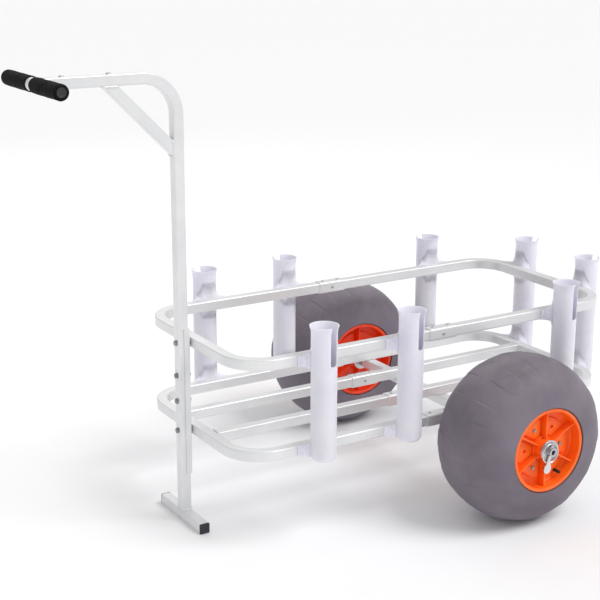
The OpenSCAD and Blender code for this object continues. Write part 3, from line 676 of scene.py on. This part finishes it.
def makeSlats():
    ring = boxes["lower_ring_front"][0][0] + tube["side"], boxes["lower_ring_rear"][1][0] - tube["side"]
    outline = squareOutline(tube["side"] + 1.2, 4.0, hold=0.1)[::1]
    for side in sides:
        for end in ("front", "rear"):
            node = "slat_" + side + "_" + end
            low, high = boxes[node]
            y, z = middle(node)[1:]
            corners = [(low[0], y, z), (high[0], y, z)]
            makePiece("slat" + side.title() + end.title(), [hollowTube(corners, (0, 0, 1), tube)],
                      made["tubeAluminium"], replaced=(node,), bevel=tube["edge"])
    beads = []
    for side in sides:
        y, z = middle("slat_" + side + "_front")[1:]
        for x, out in ((ring[0], 1), (ring[1], -1)):
            path = np.stack([np.full(len(outline), x + out * 0.9), y + outline[:, 0], z + outline[:, 1]], 1)
            beads.append(weldBead(path, (1, 0, 0)))
    makePiece("slatWelds", beads, made["weldAluminium"], sharp=60)


def makeSleeves():
    inner, outer = tube["side"] + 0.3, tube["side"] + 4.3
    for node in [n for n in nodes if n.startswith("sleeve_") and n != "sleeve_screws"]:
        low, high = boxes[node]
        y, z = middle(node)[1:]
        points = np.array([[x, y, z] for x in np.linspace(low[0], high[0], 6)])
        along = np.repeat([[1.0, 0, 0]], 6, 0)
        shell = np.concatenate([sweepGrid(points, along, (0, 0, 1), squareOutline(outer, 5.0)),
                                sweepGrid(points[::-1], along, (0, 0, 1), squareOutline(inner, 3.2))])
        name = "sleeve" + "".join(w.title() for w in node.split("_")[1:])
        makePiece(name, [gridPart(shell, wrapRows=True, wrapColumns=True)], made["tubeAluminium"],
                  replaced=(node,), bevel=0.5)


sleeveScrew = {"step": 22.0, "radius": 3.8, "height": 2.2, "deep": 1.3}


def makeSleeveScrews():
    heads = []
    for node in [n for n in nodes if n.startswith("sleeve_") and n != "sleeve_screws"]:
        centre, reach = middle(node), (boxes[node][1][2] - boxes[node][0][2]) / 2
        head = domeHead(sleeveScrew["radius"], sleeveScrew["height"], "cross", sleeveScrew["deep"])
        for x in (-sleeveScrew["step"], sleeveScrew["step"]):
            heads.append(movePart(head, None, centre + [x, 0, reach]))
        for y in (-1, 1):
            heads.append(movePart(head, facing((0, y, 0)), centre + [0, y * reach, 0]))
    makePiece("sleeveScrews", heads, made["zincSteel"], replaced=("sleeve_screws",))


def makeCrossTube():
    low, high = boxes["axle_tube"]
    x, _, z = middle("axle_tube")
    makePiece("crossTube", [hollowTube([(x, low[1], z), (x, high[1], z)], (0, 0, 1), tube)],
              made["tubeAluminium"], replaced=("axle_tube",), bevel=tube["edge"])
    rail = middle("sleeve_lower_right")[1]
    beads = []
    for y in (-rail, rail):
        for side in (-1, 1):
            # a short bead along each side of the crossing, under the rail
            edge = x + side * (tube["side"] / 2 + 0.6)
            ys = np.linspace(-9, 9, 12)
            loop = np.concatenate([np.stack([np.full(12, edge), y + ys, np.full(12, high[2] - 0.6)], 1),
                                   np.stack([np.full(12, edge + side * 0.8), y + ys[::-1],
                                             np.full(12, high[2] - 0.6)], 1)])
            beads.append(weldBead(loop, (0, 0, 1), size=1.9))
    makePiece("crossTubeWelds", beads, made["weldAluminium"], sharp=60)


makeRings()
makeSlats()
makeSleeves()
makeSleeveScrews()
makeCrossTube()
print("frame tubes done")

# ---- post, handle and foot

handle = {"vent": 2.5, "ventHeight": 898.0, "bendRadius": 85.0, "barSteps": 48}


def makePost():
    low, high = boxes["handle_post"]
    x, z = high[0] - tube["side"] / 2, high[2] - tube["side"] / 2
    corners = [(x, 0, low[2]), (x, 0, z), (low[0], 0, z)]
    braceBox = boxes["handle_brace"]
    ventZ = braceBox[0][2] + tube["side"] + 7.0
    a = np.linspace(0, 2 * math.pi, 16, endpoint=False)
    rim = np.stack([handle["vent"] * np.cos(a), handle["vent"] * np.sin(a)], 1)
    ends = np.array([x - tube["side"] / 2 - 2, x - tube["side"] / 2 + 3.5])
    grid = np.stack([np.repeat(ends[:, None], 16, 1), np.tile(rim[:, 0], (2, 1)),
                     np.tile(rim[:, 1], (2, 1)) + ventZ], 2)
    drill = [gridPart(grid, wrapColumns=True), facePart(grid[0]), facePart(grid[1])]
    starts = np.cumsum([0] + [len(p[0]) for p in drill[:-1]]).tolist()
    cutter = (np.concatenate([p[0] for p in drill]), [[k + s for k in f] for p, s in zip(drill, starts) for f in p[1]])
    makePiece("handlePost", [hollowTube(corners, (0, 1, 0), tube, handle["bendRadius"])],
              made["tubeAluminium"], replaced=("handle_post",), cutters=[cutter])
    legLow, legHigh = boxes["leg_post"]
    makePiece("legPost", [hollowTube([(x, 0, legLow[2]), (x, 0, legHigh[2])], (0, 1, 0), tube)],
              made["tubeAluminium"], replaced=("leg_post",), bevel=tube["edge"])
    return x


def makeBrace(postX):
    low, high = boxes["handle_brace"]
    barUnder, postFront = high[2], high[0]
    # the middle line runs at 45 degrees between the middles of the two cut faces
    half = (high[0] - low[0] - tube["side"] * math.sqrt(0.5)) / 1.0
    start = np.array([high[0] - half, 0, barUnder])
    end = np.array([postFront, 0, barUnder - half])
    direction = (end - start) / np.linalg.norm(end - start)
    points = np.stack([start - direction * 0.01, end + direction * 0.01])
    cuts = []
    tangents = np.stack([direction, direction])
    outline = squareOutline(tube["side"], tube["corner"])
    innerOutline = squareOutline(tube["side"] - 2 * tube["wall"], tube["corner"] - tube["wall"], hold=0.4)
    grids = []
    for shape in (outline, innerOutline):
        grid = sweepGrid(points, tangents, (0, 1, 0), shape)
        cutGrid(grid, direction, 0, start, (0, 0, 1))
        cutGrid(grid, direction, 1, end, (1, 0, 0))
        grids.append(grid)
    makePiece("handleBrace", [gridPart(np.concatenate([grids[0], grids[1][::-1]]), True, True)],
              made["tubeAluminium"], replaced=("handle_brace",))
    beads = [weldBead(grids[0][0] + [0, 0, -0.8], (0, 0, 1), size=2.3),
             weldBead(grids[0][1] + [-0.8, 0, 0], (1, 0, 0), size=2.3)]
    foot = squareOutline(tube["side"] + 1.0, 3.8, hold=0.1)
    x, _, z = middle("foot_bar")
    top = z + tube["side"] / 2 + 0.8
    beads.append(weldBead(np.stack([x + foot[:, 0], foot[:, 1], np.full(len(foot), top)], 1), (0, 0, 1), size=2.3))
    makePiece("handleWelds", beads, made["weldAluminium"], sharp=60)


def makeFoot():
    low, high = boxes["foot_bar"]
    x, _, z = middle("foot_bar")
    makePiece("footBar", [hollowTube([(x, low[1], z), (x, high[1], z)], (0, 0, 1), tube)],
              made["tubeAluminium"], replaced=("foot_bar",), bevel=tube["edge"])
    for side, way in sides.items():
        low, high = boxes["foot_cap_" + side]
        face = high[1] if way > 0 else low[1]
        bar = boxes["foot_bar"][1 if way > 0 else 0][1]
        # flange with a rolled edge and a dished middle, then the shank inside the tube
        steps = [(0.0, 0.6, 0.98), (0.0, 0.6, 0.55), (1.0, 0.0, 0.78), (0.0, 0.0, 0.93), (0.6, 0.0, 0.985),
                 (1.4, 0.0, 1.0), (2.8, 0.0, 1.0)]
        rows = []
        for depth, dish, share in [(0.9, 0, 0.06), (0.9, 0, 0.6), (0.2, 0, 0.68), (0.0, 0, 0.9), (0.35, 0, 0.965),
                                   (1.0, 0, 1.0), (2.95, 0, 1.0)]:
            shape = squareOutline(tube["side"] * share, max(tube["corner"] * share, 0.3), hold=0.05)
            rows.append(np.stack([x + shape[:, 0], np.full(len(shape), face - way * depth), z + shape[:, 1]], 1))
        shank = squareOutline(tube["side"] - 2 * tube["wall"] - 0.1, 1.2, hold=0.1)
        for y in (bar, bar - way * 19):
            rows.append(np.stack([x + shank[:, 0], np.full(len(shank), y), z + shank[:, 1]], 1))
        grid = np.array(rows)
        makePiece("footPlug" + side.title(), [gridPart(grid, wrapColumns=True), facePart(grid[0]), facePart(grid[-1])],
                  made["capRubber"], replaced=("foot_cap_" + side,))


postBolts = {"corner": 6.6, "head": 5.0, "washer": 6.5, "shank": 4.0, "nut": 6.0}


def makePostBolts(postX):
    front = postX - tube["side"] / 2
    low, high = boxes["post_bolts"]
    seam = boxes["leg_post"][1][2]
    rings = [middle("lower_ring_front")[2], middle("upper_ring_front")[2]]
    joints = [seam - 31, seam + 31]
    nutLow, nutHigh = boxes["post_nuts"]
    heads, nuts = [], []
    for z, end, nut in [(r, high[0], nutHigh[0]) for r in rings] + [(j, None, nutLow[0] + 6) for j in joints]:
        end = nut + 1 if end is None else end
        heads.append(movePart(hexHead(postBolts["corner"], postBolts["head"], washer=postBolts["washer"]),
                              facing((-1, 0, 0)), (front, 0, z)))
        heads.append(movePart(rodPart(postBolts["shank"], end - front, 0.6), facing((1, 0, 0)), (front, 0, z)))
        nuts.append(movePart(hexHead(postBolts["corner"], postBolts["nut"], bore=4.05), facing((1, 0, 0)),
                             (nut - 6, 0, z)))
    makePiece("postBolts", heads, made["darkSteel"], replaced=("post_bolts",))
    makePiece("postNuts", nuts, made["darkSteel"], replaced=("post_nuts",))
    smoothCopy("post_channel", "postChannel", made["channelAluminium"], bevel=0.5)
    smoothCopy("post_spacers", "postSpacers", made["blackNylon"], bevel=0.4)


def makeHandleBolts():
    low, high = boxes["handle_bolts"]
    barTop = boxes["handle_post"][1][2]
    stemX, braceX = low[0] + 5.5, boxes["handle_brace"][0][0] + tube["side"] * math.sqrt(0.5)
    postBack = boxes["handle_post"][1][0]
    braceZ = boxes["handle_brace"][0][2] + tube["side"] * math.sqrt(0.5)
    head = domeHead(5.5, 3.0, "hexagon", 1.7)
    parts = [movePart(head, None, (stemX, 0, barTop)), movePart(head, None, (braceX, 0, barTop)),
             movePart(head, facing((1, 0, 0)), (postBack, 0, braceZ)),
             movePart(hexHead(5.5, 3.0, bore=0), facing((0, 0, -1)), (stemX, 0, barTop - tube["side"])),
             movePart(rodPart(2.9, tube["side"] + 0.2), facing((0, 0, -1)), (stemX, 0, barTop + 0.1))]
    makePiece("handleBolts", parts, made["zincSteel"], replaced=("handle_bolts",))


grips = {"steps": 72, "rows": 96, "round": 4.5, "swell": 0.18}


def makeCrossBar():
    low, high = boxes["handle_bar"]
    x, z = boxes["grip_left"][0][0] + (boxes["grip_left"][1][0] - boxes["grip_left"][0][0]) / 2, middle("handle_bar")[2]
    span = high[1]
    barRadius, wall = 11.0, 1.6
    wide, reach = 14.6, 12.0
    profile = softProfile([(barRadius - wall, -span), (barRadius, -span), (barRadius, -reach), (wide, -reach),
                           (wide, reach), (barRadius, reach), (barRadius, span), (barRadius - wall, span),
                           (barRadius - wall, -span)], 0.3)
    bar = movePart(revolve(profile[:-1], handle["barSteps"], wrap=True), facing((0, 1, 0)), (x, 0, z))
    stem = movePart(rodPart(10.0, high[0] - x - 6, 0.6, handle["barSteps"]), facing((1, 0, 0)), (x + 6, 0, z))
    # weld where the round stem meets the round bar: the bead follows the saddle line of the two cylinders
    a = np.linspace(0, 2 * math.pi, 60, endpoint=False)
    ring = 10.6
    y, up = ring * np.cos(a), ring * np.sin(a)
    path = np.stack([x + np.sqrt((wide + 0.5) ** 2 - up ** 2), y, z + up], 1)
    makePiece("crossBar", [bar, stem], made["weldAluminium"], replaced=("handle_bar",))
    makePiece("crossBarWeld", [weldBead(path, (1, 0.001, 0), size=1.9)], made["weldAluminium"],
              sharp=60)
    for side, way in sides.items():
        low, high = boxes["grip_" + side]
        start, end = sorted((abs(low[1]), abs(high[1])))
        length, radius = end - start, (high[0] - low[0]) / 2
        inner = barRadius + 0.1
        s = np.linspace(0, 1, grips["rows"])
        a = np.linspace(0, 2 * math.pi, grips["steps"], endpoint=False)
        edge = grips["round"]
        # outline rounds off at both ends; the body swells by slow waves that never repeat round the bar
        run = s * length
        near = np.minimum(run, length - run)
        drop = np.where(near < edge, edge - np.sqrt(np.maximum(edge ** 2 - (edge - near) ** 2, 0)), 0)
        sa, aa = np.meshgrid(run, a, indexing="ij")
        wave = np.sin(sa * 0.11 + 2 * aa + way) + 0.6 * np.sin(sa * 0.31 - aa + 1.3) + 0.4 * np.sin(sa * 0.052 + 3 * aa)
        r = radius - 0.35 - drop[:, None] + grips["swell"] * wave * (near[:, None] > edge)
        rows = np.concatenate([np.full((1, len(a)), inner), r, np.full((1, len(a)), inner)])
        heights = np.concatenate([[run[0]], run, [run[-1]]])[:, None] + np.zeros_like(rows)
        grid = np.stack([rows * np.cos(a), rows * np.sin(a), heights + start], 2)
        part = movePart(gridPart(grid, wrapRows=True, wrapColumns=True), facing((0, way, 0)), (x, 0, z))
        makePiece("grip" + side.title(), [part], made["gripFoam"], replaced=("grip_" + side,),
                  sharp=70)
    plugs = []
    for way in sides.values():
        end = boxes["grip_plugs"][1][1]
        profile = softProfile([(0, 0), (0, 14), (0, 14.2), (6.2, 14.2), (7.2, 15.0), (10.85, 15.0), (10.85, 13.0),
                               (9.2, 13.0), (9.2, 0), (0, 0)][2:], [0, 0.5, 0.6, 1.2, 0.3, 0.2, 0.4, 0])
        plugs.append(movePart(revolve(profile, 48), facing((0, way, 0)), (x, way * (end - 15.0), z)))
    makePiece("gripPlugs", plugs, made["blackNylon"], replaced=("grip_plugs",))


postX = makePost()
makeBrace(postX)
makeFoot()
makePostBolts(postX)
makeHandleBolts()
makeCrossBar()
print("post, handle and foot done")

# rod holders: slotted tube, two saddles and the screws that hold it to the rails

holder = {"outer": 29.6, "bore": 27.0, "round": 12.0, "floor": 10.0, "drain": 5.0, "flare": 20.0, "rim": 33.6,
          "lip": 31.2, "slotHalf": 10.0, "slotDeep": 91.0, "slotCorner": 7.0, "wallZ": 320.0,
          "turn": {"left": 18, "right": 10, "tail": 0}, "face": 32.0, "plate": 6.0, "block": 17.0, "half": 50.0,
          "root": 18.0, "tip": 40.0, "power": 2.4, "drop": 5.0, "upper": (438.9, 40.0, 28.0), "lower": (225.4, 36.0, 3.0), "hide": 27.9,
          "soft": 1.3, "head": 4.4}


def softStep(x):
    x = np.clip(x, 0, 1)
    return x * x * (3 - 2 * x)


def holderBody(low, top, turn, steps=96):
    h = holder
    a = np.radians(np.linspace(-90, 0, 6))
    under = np.stack([h["outer"] - h["round"] + h["round"] * np.cos(a), low + h["round"] * (1 + np.sin(a)), 0 * a], 1)
    # slot: (half width share)^3 + (1 - rise share)^3 = 1 rounds its lower corners
    w = np.array([0, 0.55, 0.75, 0.88, 0.96, 1.0])
    rise = top - h["slotDeep"] + h["slotCorner"] * (1 - (1 - w ** 3) ** (1 / 3))
    t = np.array([0, 0.3, 0.55, 0.75, 0.9])
    z = np.concatenate([rise, [top - 55], top - h["flare"] * (1 - t), [top - 0.9, top - 0.25, top]])
    share = np.concatenate([w, np.ones(len(z) - len(w))])
    lift = np.clip(1 - (top - z) / h["flare"], 0, 1)
    thin = np.concatenate([np.zeros(len(z) - 3), [0.05, 0.3, 1.0]])
    outer = h["outer"] + (h["rim"] - h["outer"]) * lift ** 2.2 - 0.9 * thin
    inner = h["bore"] + (h["lip"] - h["bore"]) * lift ** 2 + 0.5 * thin
    floor = low + h["floor"]
    before = np.concatenate([[[h["drain"], low, 0]], under, [[h["outer"], h["wallZ"], 0]]])
    after = np.array([[h["bore"], h["wallZ"], 0], [h["bore"], floor + 2, 0], [h["bore"] - 0.6, floor + 0.6, 0],
                      [h["bore"] - 2, floor, 0], [h["drain"], floor, 0]])
    rows = np.concatenate([before, np.stack([outer, z, share], 1), np.stack([inner, z, share], 1)[::-1], after])
    gap = np.arcsin(np.clip(h["slotHalf"] * rows[:, 2] / rows[:, 0], 0, 1))[:, None]
    angles = math.radians(turn) + gap + (2 * math.pi - 2 * gap) * np.linspace(0, 1, steps + 1)
    r = rows[:, :1]
    grid = np.stack([r * np.cos(angles), r * np.sin(angles), np.repeat(rows[:, 1:2], steps + 1, 1)], 2)
    first, count = len(before), len(z)
    outside, inside = grid[first:first + count], grid[first + count:first + 2 * count][::-1]
    walls = [gridPart(np.stack([outside[:, k], inside[:, k]], 1)) for k in (0, -1)]
    return [gridPart(grid, wrapRows=True)] + walls


def saddlePart(z, up, down):
    h = holder
    y = np.array([0, 8, 15, 18, 20, 22, 24, 26, 28, 29.5, 31, 33, 35, 37, 39, 40.5, 42, 45, 49, h["half"]])
    y = np.concatenate([-y[:0:-1], y])
    away = np.abs(y)
    # wing height: rail half height plus reach times a power of the way in from the wing's tip
    t = np.clip((h["tip"] - away) / (h["tip"] - h["root"]), 0, 1)
    rise, fall = tube["side"] / 2 + up * t ** h["power"], tube["side"] / 2 + down * t ** h["power"]
    s = softStep((43 - away) / 4)
    face = h["plate"] + (h["block"] - h["plate"]) * s + 5 * np.clip((36 - away) / 8, 0, 1) ** 2 - h["face"]
    wall = -np.sqrt(np.clip(h["hide"] ** 2 - y ** 2, 0, None))
    face = np.where(away < h["hide"], np.minimum(face, wall), face)
    c = h["soft"]
    inset = np.where(away > h["half"] - 0.5, c * 0.7, 0)
    drop = h["drop"] * s
    low, high = np.minimum(drop - fall, drop - tube["side"] / 2) + inset, rise - drop - inset
    face = face - inset
    # the rail side runs from the rail's face into the tube's own surface at the wing's tip
    skin = np.minimum(0.3 - np.sqrt(np.clip(h["outer"] ** 2 - y ** 2, 0, None)), face - c - 0.3)
    skin = np.minimum(skin, -19 * softStep((away - 24) / 9))
    edge = tube["side"] / 2 + 0.5
    def railSide(tip, share):
        start = np.minimum(edge, tip - 0.4)
        return skin - (skin + h["face"]) * (1 - share) ** 2, start + (tip - start) * share
    shares = (0, 0.15, 0.3, 0.5, 0.7, 0.85, 1)
    under = [railSide(fall - inset, share) for share in shares]
    over = [railSide(rise - inset, share) for share in shares[::-1]]
    loops = [(x, -height) for x, height in under]
    loops += [(face - c, low), (face - c * 0.3, low + c * 0.3), (face, low + c), (face, high - c),
              (face - c * 0.3, high - c * 0.3), (face - c, high)] + over
    grid = np.stack([np.stack([x, y, z + height], 1) for x, height in loops], 1)
    return [gridPart(grid, wrapColumns=True), facePart(grid[0]), facePart(grid[-1])]


def makeHolders():
    h = holder
    heads = []
    for node in [n for n in nodes if n.startswith("holder_") and n != "holder_screws"]:
        low, high = boxes[node]
        words = node.split("_")[1:]
        if words[0] == "tail":
            axis, angle = np.array([low[0] + h["face"], (low[1] + high[1]) / 2, 0]), 0.0
        else:
            side = sides[words[0]]
            edge = (low if side > 0 else high)[1]
            axis, angle = np.array([(low[0] + high[0]) / 2, edge + side * h["face"], 0]), side * math.pi / 2
        c, s = math.cos(angle), math.sin(angle)
        turn = [[c, -s, 0], [s, c, 0], [0, 0, 1]]
        parts = holderBody(low[2], high[2], h["turn"][words[0]])
        for level in ("upper", "lower"):
            parts += saddlePart(*h[level])
            head = movePart(domeHead(h["head"], 1.5), facing((1, 0, 0)), (0.3 - h["bore"], 0, h[level][0]))
            heads.append(movePart(head, turn, axis))
        makePiece("holder" + "".join(w.title() for w in words), [movePart(p, turn, axis) for p in parts],
                  made["holderPlastic"], replaced=(node,), sharp=48)
    makePiece("holderScrews", heads, made["zincSteel"], replaced=("holder_screws",))


makeHolders()
print("rod holders made")

# wheels: local x goes to X, local y to Z and local z outward along Y

tyre = {"base": 103.0, "top": 200.0, "half": 111.0, "power": 2.4, "bead": 96.1, "beadHalf": 104.4, "rows": 86,
        "columns": 720, "sink": 1.0, "rest": 0.1, "lugs": 12, "firstLug": 117.5, "lugHalf": 23.0, "lugEnd": 88.0,
        "bandHalf": 20.0, "lugEdge": 4.6, "grooveFrom": 24.0, "grooveTo": 68.0, "groove": 0.9}


def tyrePart():
    # outline: y = half * |cos a|^(2 / power), r = base + (top - base) * sin(a)^(2 / power)
    q = tyre
    a = np.linspace(0, math.pi, q["rows"])
    c, s = np.cos(a), np.clip(np.sin(a), 0, 1)
    y = -q["half"] * np.sign(c) * np.abs(c) ** (2 / q["power"])
    r = q["base"] + (q["top"] - q["base"]) * s ** (2 / q["power"])
    dy, dr = np.gradient(y), np.gradient(r)
    length = np.hypot(dy, dr)
    outY, outR = -dr / length, dy / length
    walk = np.concatenate([[0], np.cumsum(np.hypot(np.diff(y), np.diff(r)))])
    walk = np.abs(walk - walk[-1] / 2)[:, None]
    reachOf = lambda side: float(np.interp(side, np.abs(y[len(y) // 2:]), walk[len(y) // 2:, 0]))
    lugEnd, band = reachOf(q["lugEnd"]) - q["lugHalf"], reachOf(q["bandHalf"])
    angle = np.linspace(0, 2 * math.pi, q["columns"], endpoint=False)
    step = 2 * math.pi / q["lugs"]
    off = (angle - math.radians(q["firstLug"]) + step / 2) % step - step / 2
    across = (off * q["top"])[None, :]
    # a lug is a tongue: all places nearer to its middle line than its half width
    far = np.hypot(across, np.clip(walk - lugEnd, 0, None)) - q["lugHalf"]
    lug = softStep(0.5 - far / q["lugEdge"])
    level = np.maximum(lug, softStep((band - walk) / 3 + 0.5))
    sides2 = np.exp(-((np.abs(across) - q["lugHalf"] - 2.4) / 1.7) ** 2)
    along = softStep((walk - reachOf(q["grooveFrom"])) / 3) * softStep((reachOf(q["grooveTo"]) - walk) / 9)
    line = np.exp(-((walk - band - 1.0) / 1.3) ** 2)
    sink = q["rest"] + q["sink"] * (1 - level) + q["groove"] * sides2 * along + 0.35 * line
    fade = softStep((walk.max() - walk) / 14)
    sink = q["rest"] + (sink - q["rest"]) * fade
    rr = r[:, None] - outR[:, None] * sink
    yy = y[:, None] - outY[:, None] * sink
    grid = np.stack([rr * np.cos(angle), rr * np.sin(angle), yy * np.ones_like(angle)], 2)
    flat = np.array([[q["base"] + 0.1, -q["beadHalf"]], [q["bead"], -q["beadHalf"]],
                     [q["bead"], q["beadHalf"]], [q["base"] + 0.1, q["beadHalf"]]])
    ends = np.stack([flat[:, :1] * np.cos(angle), flat[:, :1] * np.sin(angle),
                     np.repeat(flat[:, 1:], len(angle), 1)], 2)
    return gridPart(np.concatenate([ends[2:], grid[::-1], ends[:2]]), wrapRows=True, wrapColumns=True)


hub = {"barrel": 96.0, "inner": 92.0, "lip": 101.0, "half": 108.5, "lipBack": 105.0, "webLow": 74.5, "web": 78.5,
       "boss": 24.0, "bore": 16.05, "bossEnd": 106.4, "collar": 29.5, "collarTop": 90.0, "ribs": 6, "ribTop": 99.5,
       "ribThick": 4.0, "padIn": 31.5, "padOut": 74.0, "ribGap": 7.5, "padTop": 84.0, "padPlace": 53.0,
       "holes": (2.9, 4.6)}


def padPart(hole, steps=72):
    # raised pad: a rounded sector round its hole, then down the hole to the web
    h = hub
    a = np.linspace(0, 2 * math.pi, steps, endpoint=False)
    # sector outline: superellipse in radius and in angle, so its corners are round
    c, s = np.cos(a), np.sin(a)
    px, py = np.sign(c) * np.abs(c) ** 0.26, np.sign(s) * np.abs(s) ** 0.26
    middleR, halfR = (h["padIn"] + h["padOut"]) / 2, (h["padOut"] - h["padIn"]) / 2

    def outline(grow):
        r = middleR + (halfR + grow) * px
        # the side edges run level with the ribs, so the sector narrows toward the boss
        turn = (math.radians(30) - (h["ribGap"] - grow) / r) * py
        return np.stack([r * np.cos(turn), r * np.sin(turn)], 1)

    ring = np.stack([h["padPlace"] + hole * c, hole * s], 1)
    rows = [(outline(1.8), h["web"] - 1), (outline(1.0), h["web"] + 0.3), (outline(0.4), h["web"] + 1.4),
            (outline(-0.5), h["padTop"] - 1.0), (outline(-0.9), h["padTop"] - 0.35), (outline(-1.7), h["padTop"]),
            (ring + 0.5 * np.stack([c, s], 1), h["padTop"]), (ring, h["padTop"] - 0.5), (ring, h["web"] + 0.6),
            (ring * [0.0, 0.0] + [h["padPlace"], 0], h["web"] + 0.6)]
    grid = np.stack([np.concatenate([p, np.full((steps, 1), z)], 1) for p, z in rows])
    return [gridPart(grid, wrapColumns=True), facePart(grid[0])]


def ribPart():
    h = hub
    x0, x1 = h["boss"] - 0.8, h["inner"] + 0.8
    x = np.array([x0, 34, 50, 66, 80, x1])
    # a little draft and a round top; the rib rises to the rim and to the boss
    top = h["ribTop"] - 2.2 * np.sin(np.linspace(0, math.pi, len(x)))
    half = np.array([0.5, 0.5, 0.47, 0.38, 0.2, 0.0]) * h["ribThick"]
    drop = np.array([h["ribTop"] - h["web"] + 1, 4.0, 0.9, 0.25, 0.03, 0.0])
    flare = np.array([0.6, 0, 0, 0, 0, 0])
    y = np.concatenate([-(half + flare), (half + flare)[-2::-1]])
    d = np.concatenate([drop, drop[-2::-1]])
    grid = np.stack([np.repeat(x[:, None], len(y), 1), np.repeat(y[None], len(x), 0), top[:, None] - d[None]], 2)
    return [gridPart(grid, wrapColumns=True), facePart(grid[0]), facePart(grid[-1])]


def hubParts():
    h = hub
    profile = softProfile([[h["bore"], 2], [h["boss"] - 4, 2], [h["boss"] - 4, h["webLow"]], [h["inner"], h["webLow"]],
                           [h["inner"], 2], [h["barrel"] - 0.05, 2], [h["barrel"] - 0.05, h["lipBack"]],
                           [h["lip"], h["lipBack"]], [h["lip"], h["half"] - 0.05], [h["inner"] + 1, h["half"] - 0.05],
                           [h["inner"] - 0.5, h["web"]], [h["collar"] + 0.6, h["web"]], [h["collar"], h["collarTop"]],
                           [h["boss"] + 0.8, h["collarTop"] - 3], [h["boss"], h["bossEnd"]],
                           [h["bore"], h["bossEnd"]]],
                          [0, 1, 2, 2, 1, 0.5, 0.8, 0.6, 1.6, 2.2, 4, 2, 1.5, 1, 1.2, 0.5], steps=4)
    parts = [revolve(profile, 144, wrap=True)]
    for k in range(h["ribs"]):
        for own, shift in ((ribPart(), 0.5), (padPart(h["holes"][k % 2]), 0)):
            a = (k + shift) * 2 * math.pi / h["ribs"]
            turn = [[math.cos(a), -math.sin(a), 0], [math.sin(a), math.cos(a), 0], [0, 0, 1]]
            parts += [movePart(p, turn) for p in own]
    return parts


def makeWheels():
    tread, half = tyrePart(), hubParts()
    for side, way in sides.items():
        body, place = "wheel_" + side, middle("tyre_" + side)
        turn = np.array([[1, 0, 0], [0, 0, way], [0, 1, 0]])
        makePiece("tyre" + side.title(), [movePart(tread, turn, place)], made["tyreRubber"], body=body,
                  replaced=("tyre_" + side,), sharp=50)
        # outer halves take the hub plastic; inner halves take its darker copy, which is painted shade
        for end, flip, plastic in (("outer", 1, "hubPlastic"), ("inner", -1, "hubInnerPlastic")):
            parts = [movePart(p, turn @ np.diag([1, 1, flip]), place) for p in half]
            makePiece("hub" + end.title() + side.title(), parts, made[plastic], body=body,
                      replaced=("hub_" + end + "_" + side,), sharp=40)
        smoothCopy("bushes_" + side, "bushes" + side.title(), made["blackNylon"], body)
        smoothCopy("valve_" + side, "valve" + side.title(), made["blackNylon"], body)
        smoothCopy("hub_screws_" + side, "hubScrews" + side.title(), made["darkSteel"], body)
        smoothCopy("washers_" + side, "washers" + side.title(), made["zincSteel"])
        smoothCopy("lock_pin_" + side, "lockPin" + side.title(), made["brightSteel"], bevel=0.8)
        smoothCopy("lock_ring_" + side, "lockRing" + side.title(), made["brightSteel"], "lock_" + side,
                   bevel=0)
    smoothCopy("axle_rod", "axleRod", made["zincSteel"])
    smoothCopy("axle_spacers", "axleSpacers", made["zincSteel"])


makeWheels()
print("wheels made")

# plain CAD nodes take their finish by slot while the pieces are made
bySlot = {"frame_aluminium": "tubeAluminium", "holder_plastic": "holderPlastic", "tyre_rubber": "tyreRubber",
          "hub_plastic": "hubPlastic", "grip_foam": "gripFoam", "cap_rubber": "capRubber",
          "black_nylon": "blackNylon", "fastener_steel": "darkSteel", "bright_steel": "brightSteel"}
for n, o in nodes.items():
    for k, s in enumerate(o.material_slots):
        s.material = made[bySlot.get((s.material.name if s.material else "").split(".")[0], "tubeAluminium")]
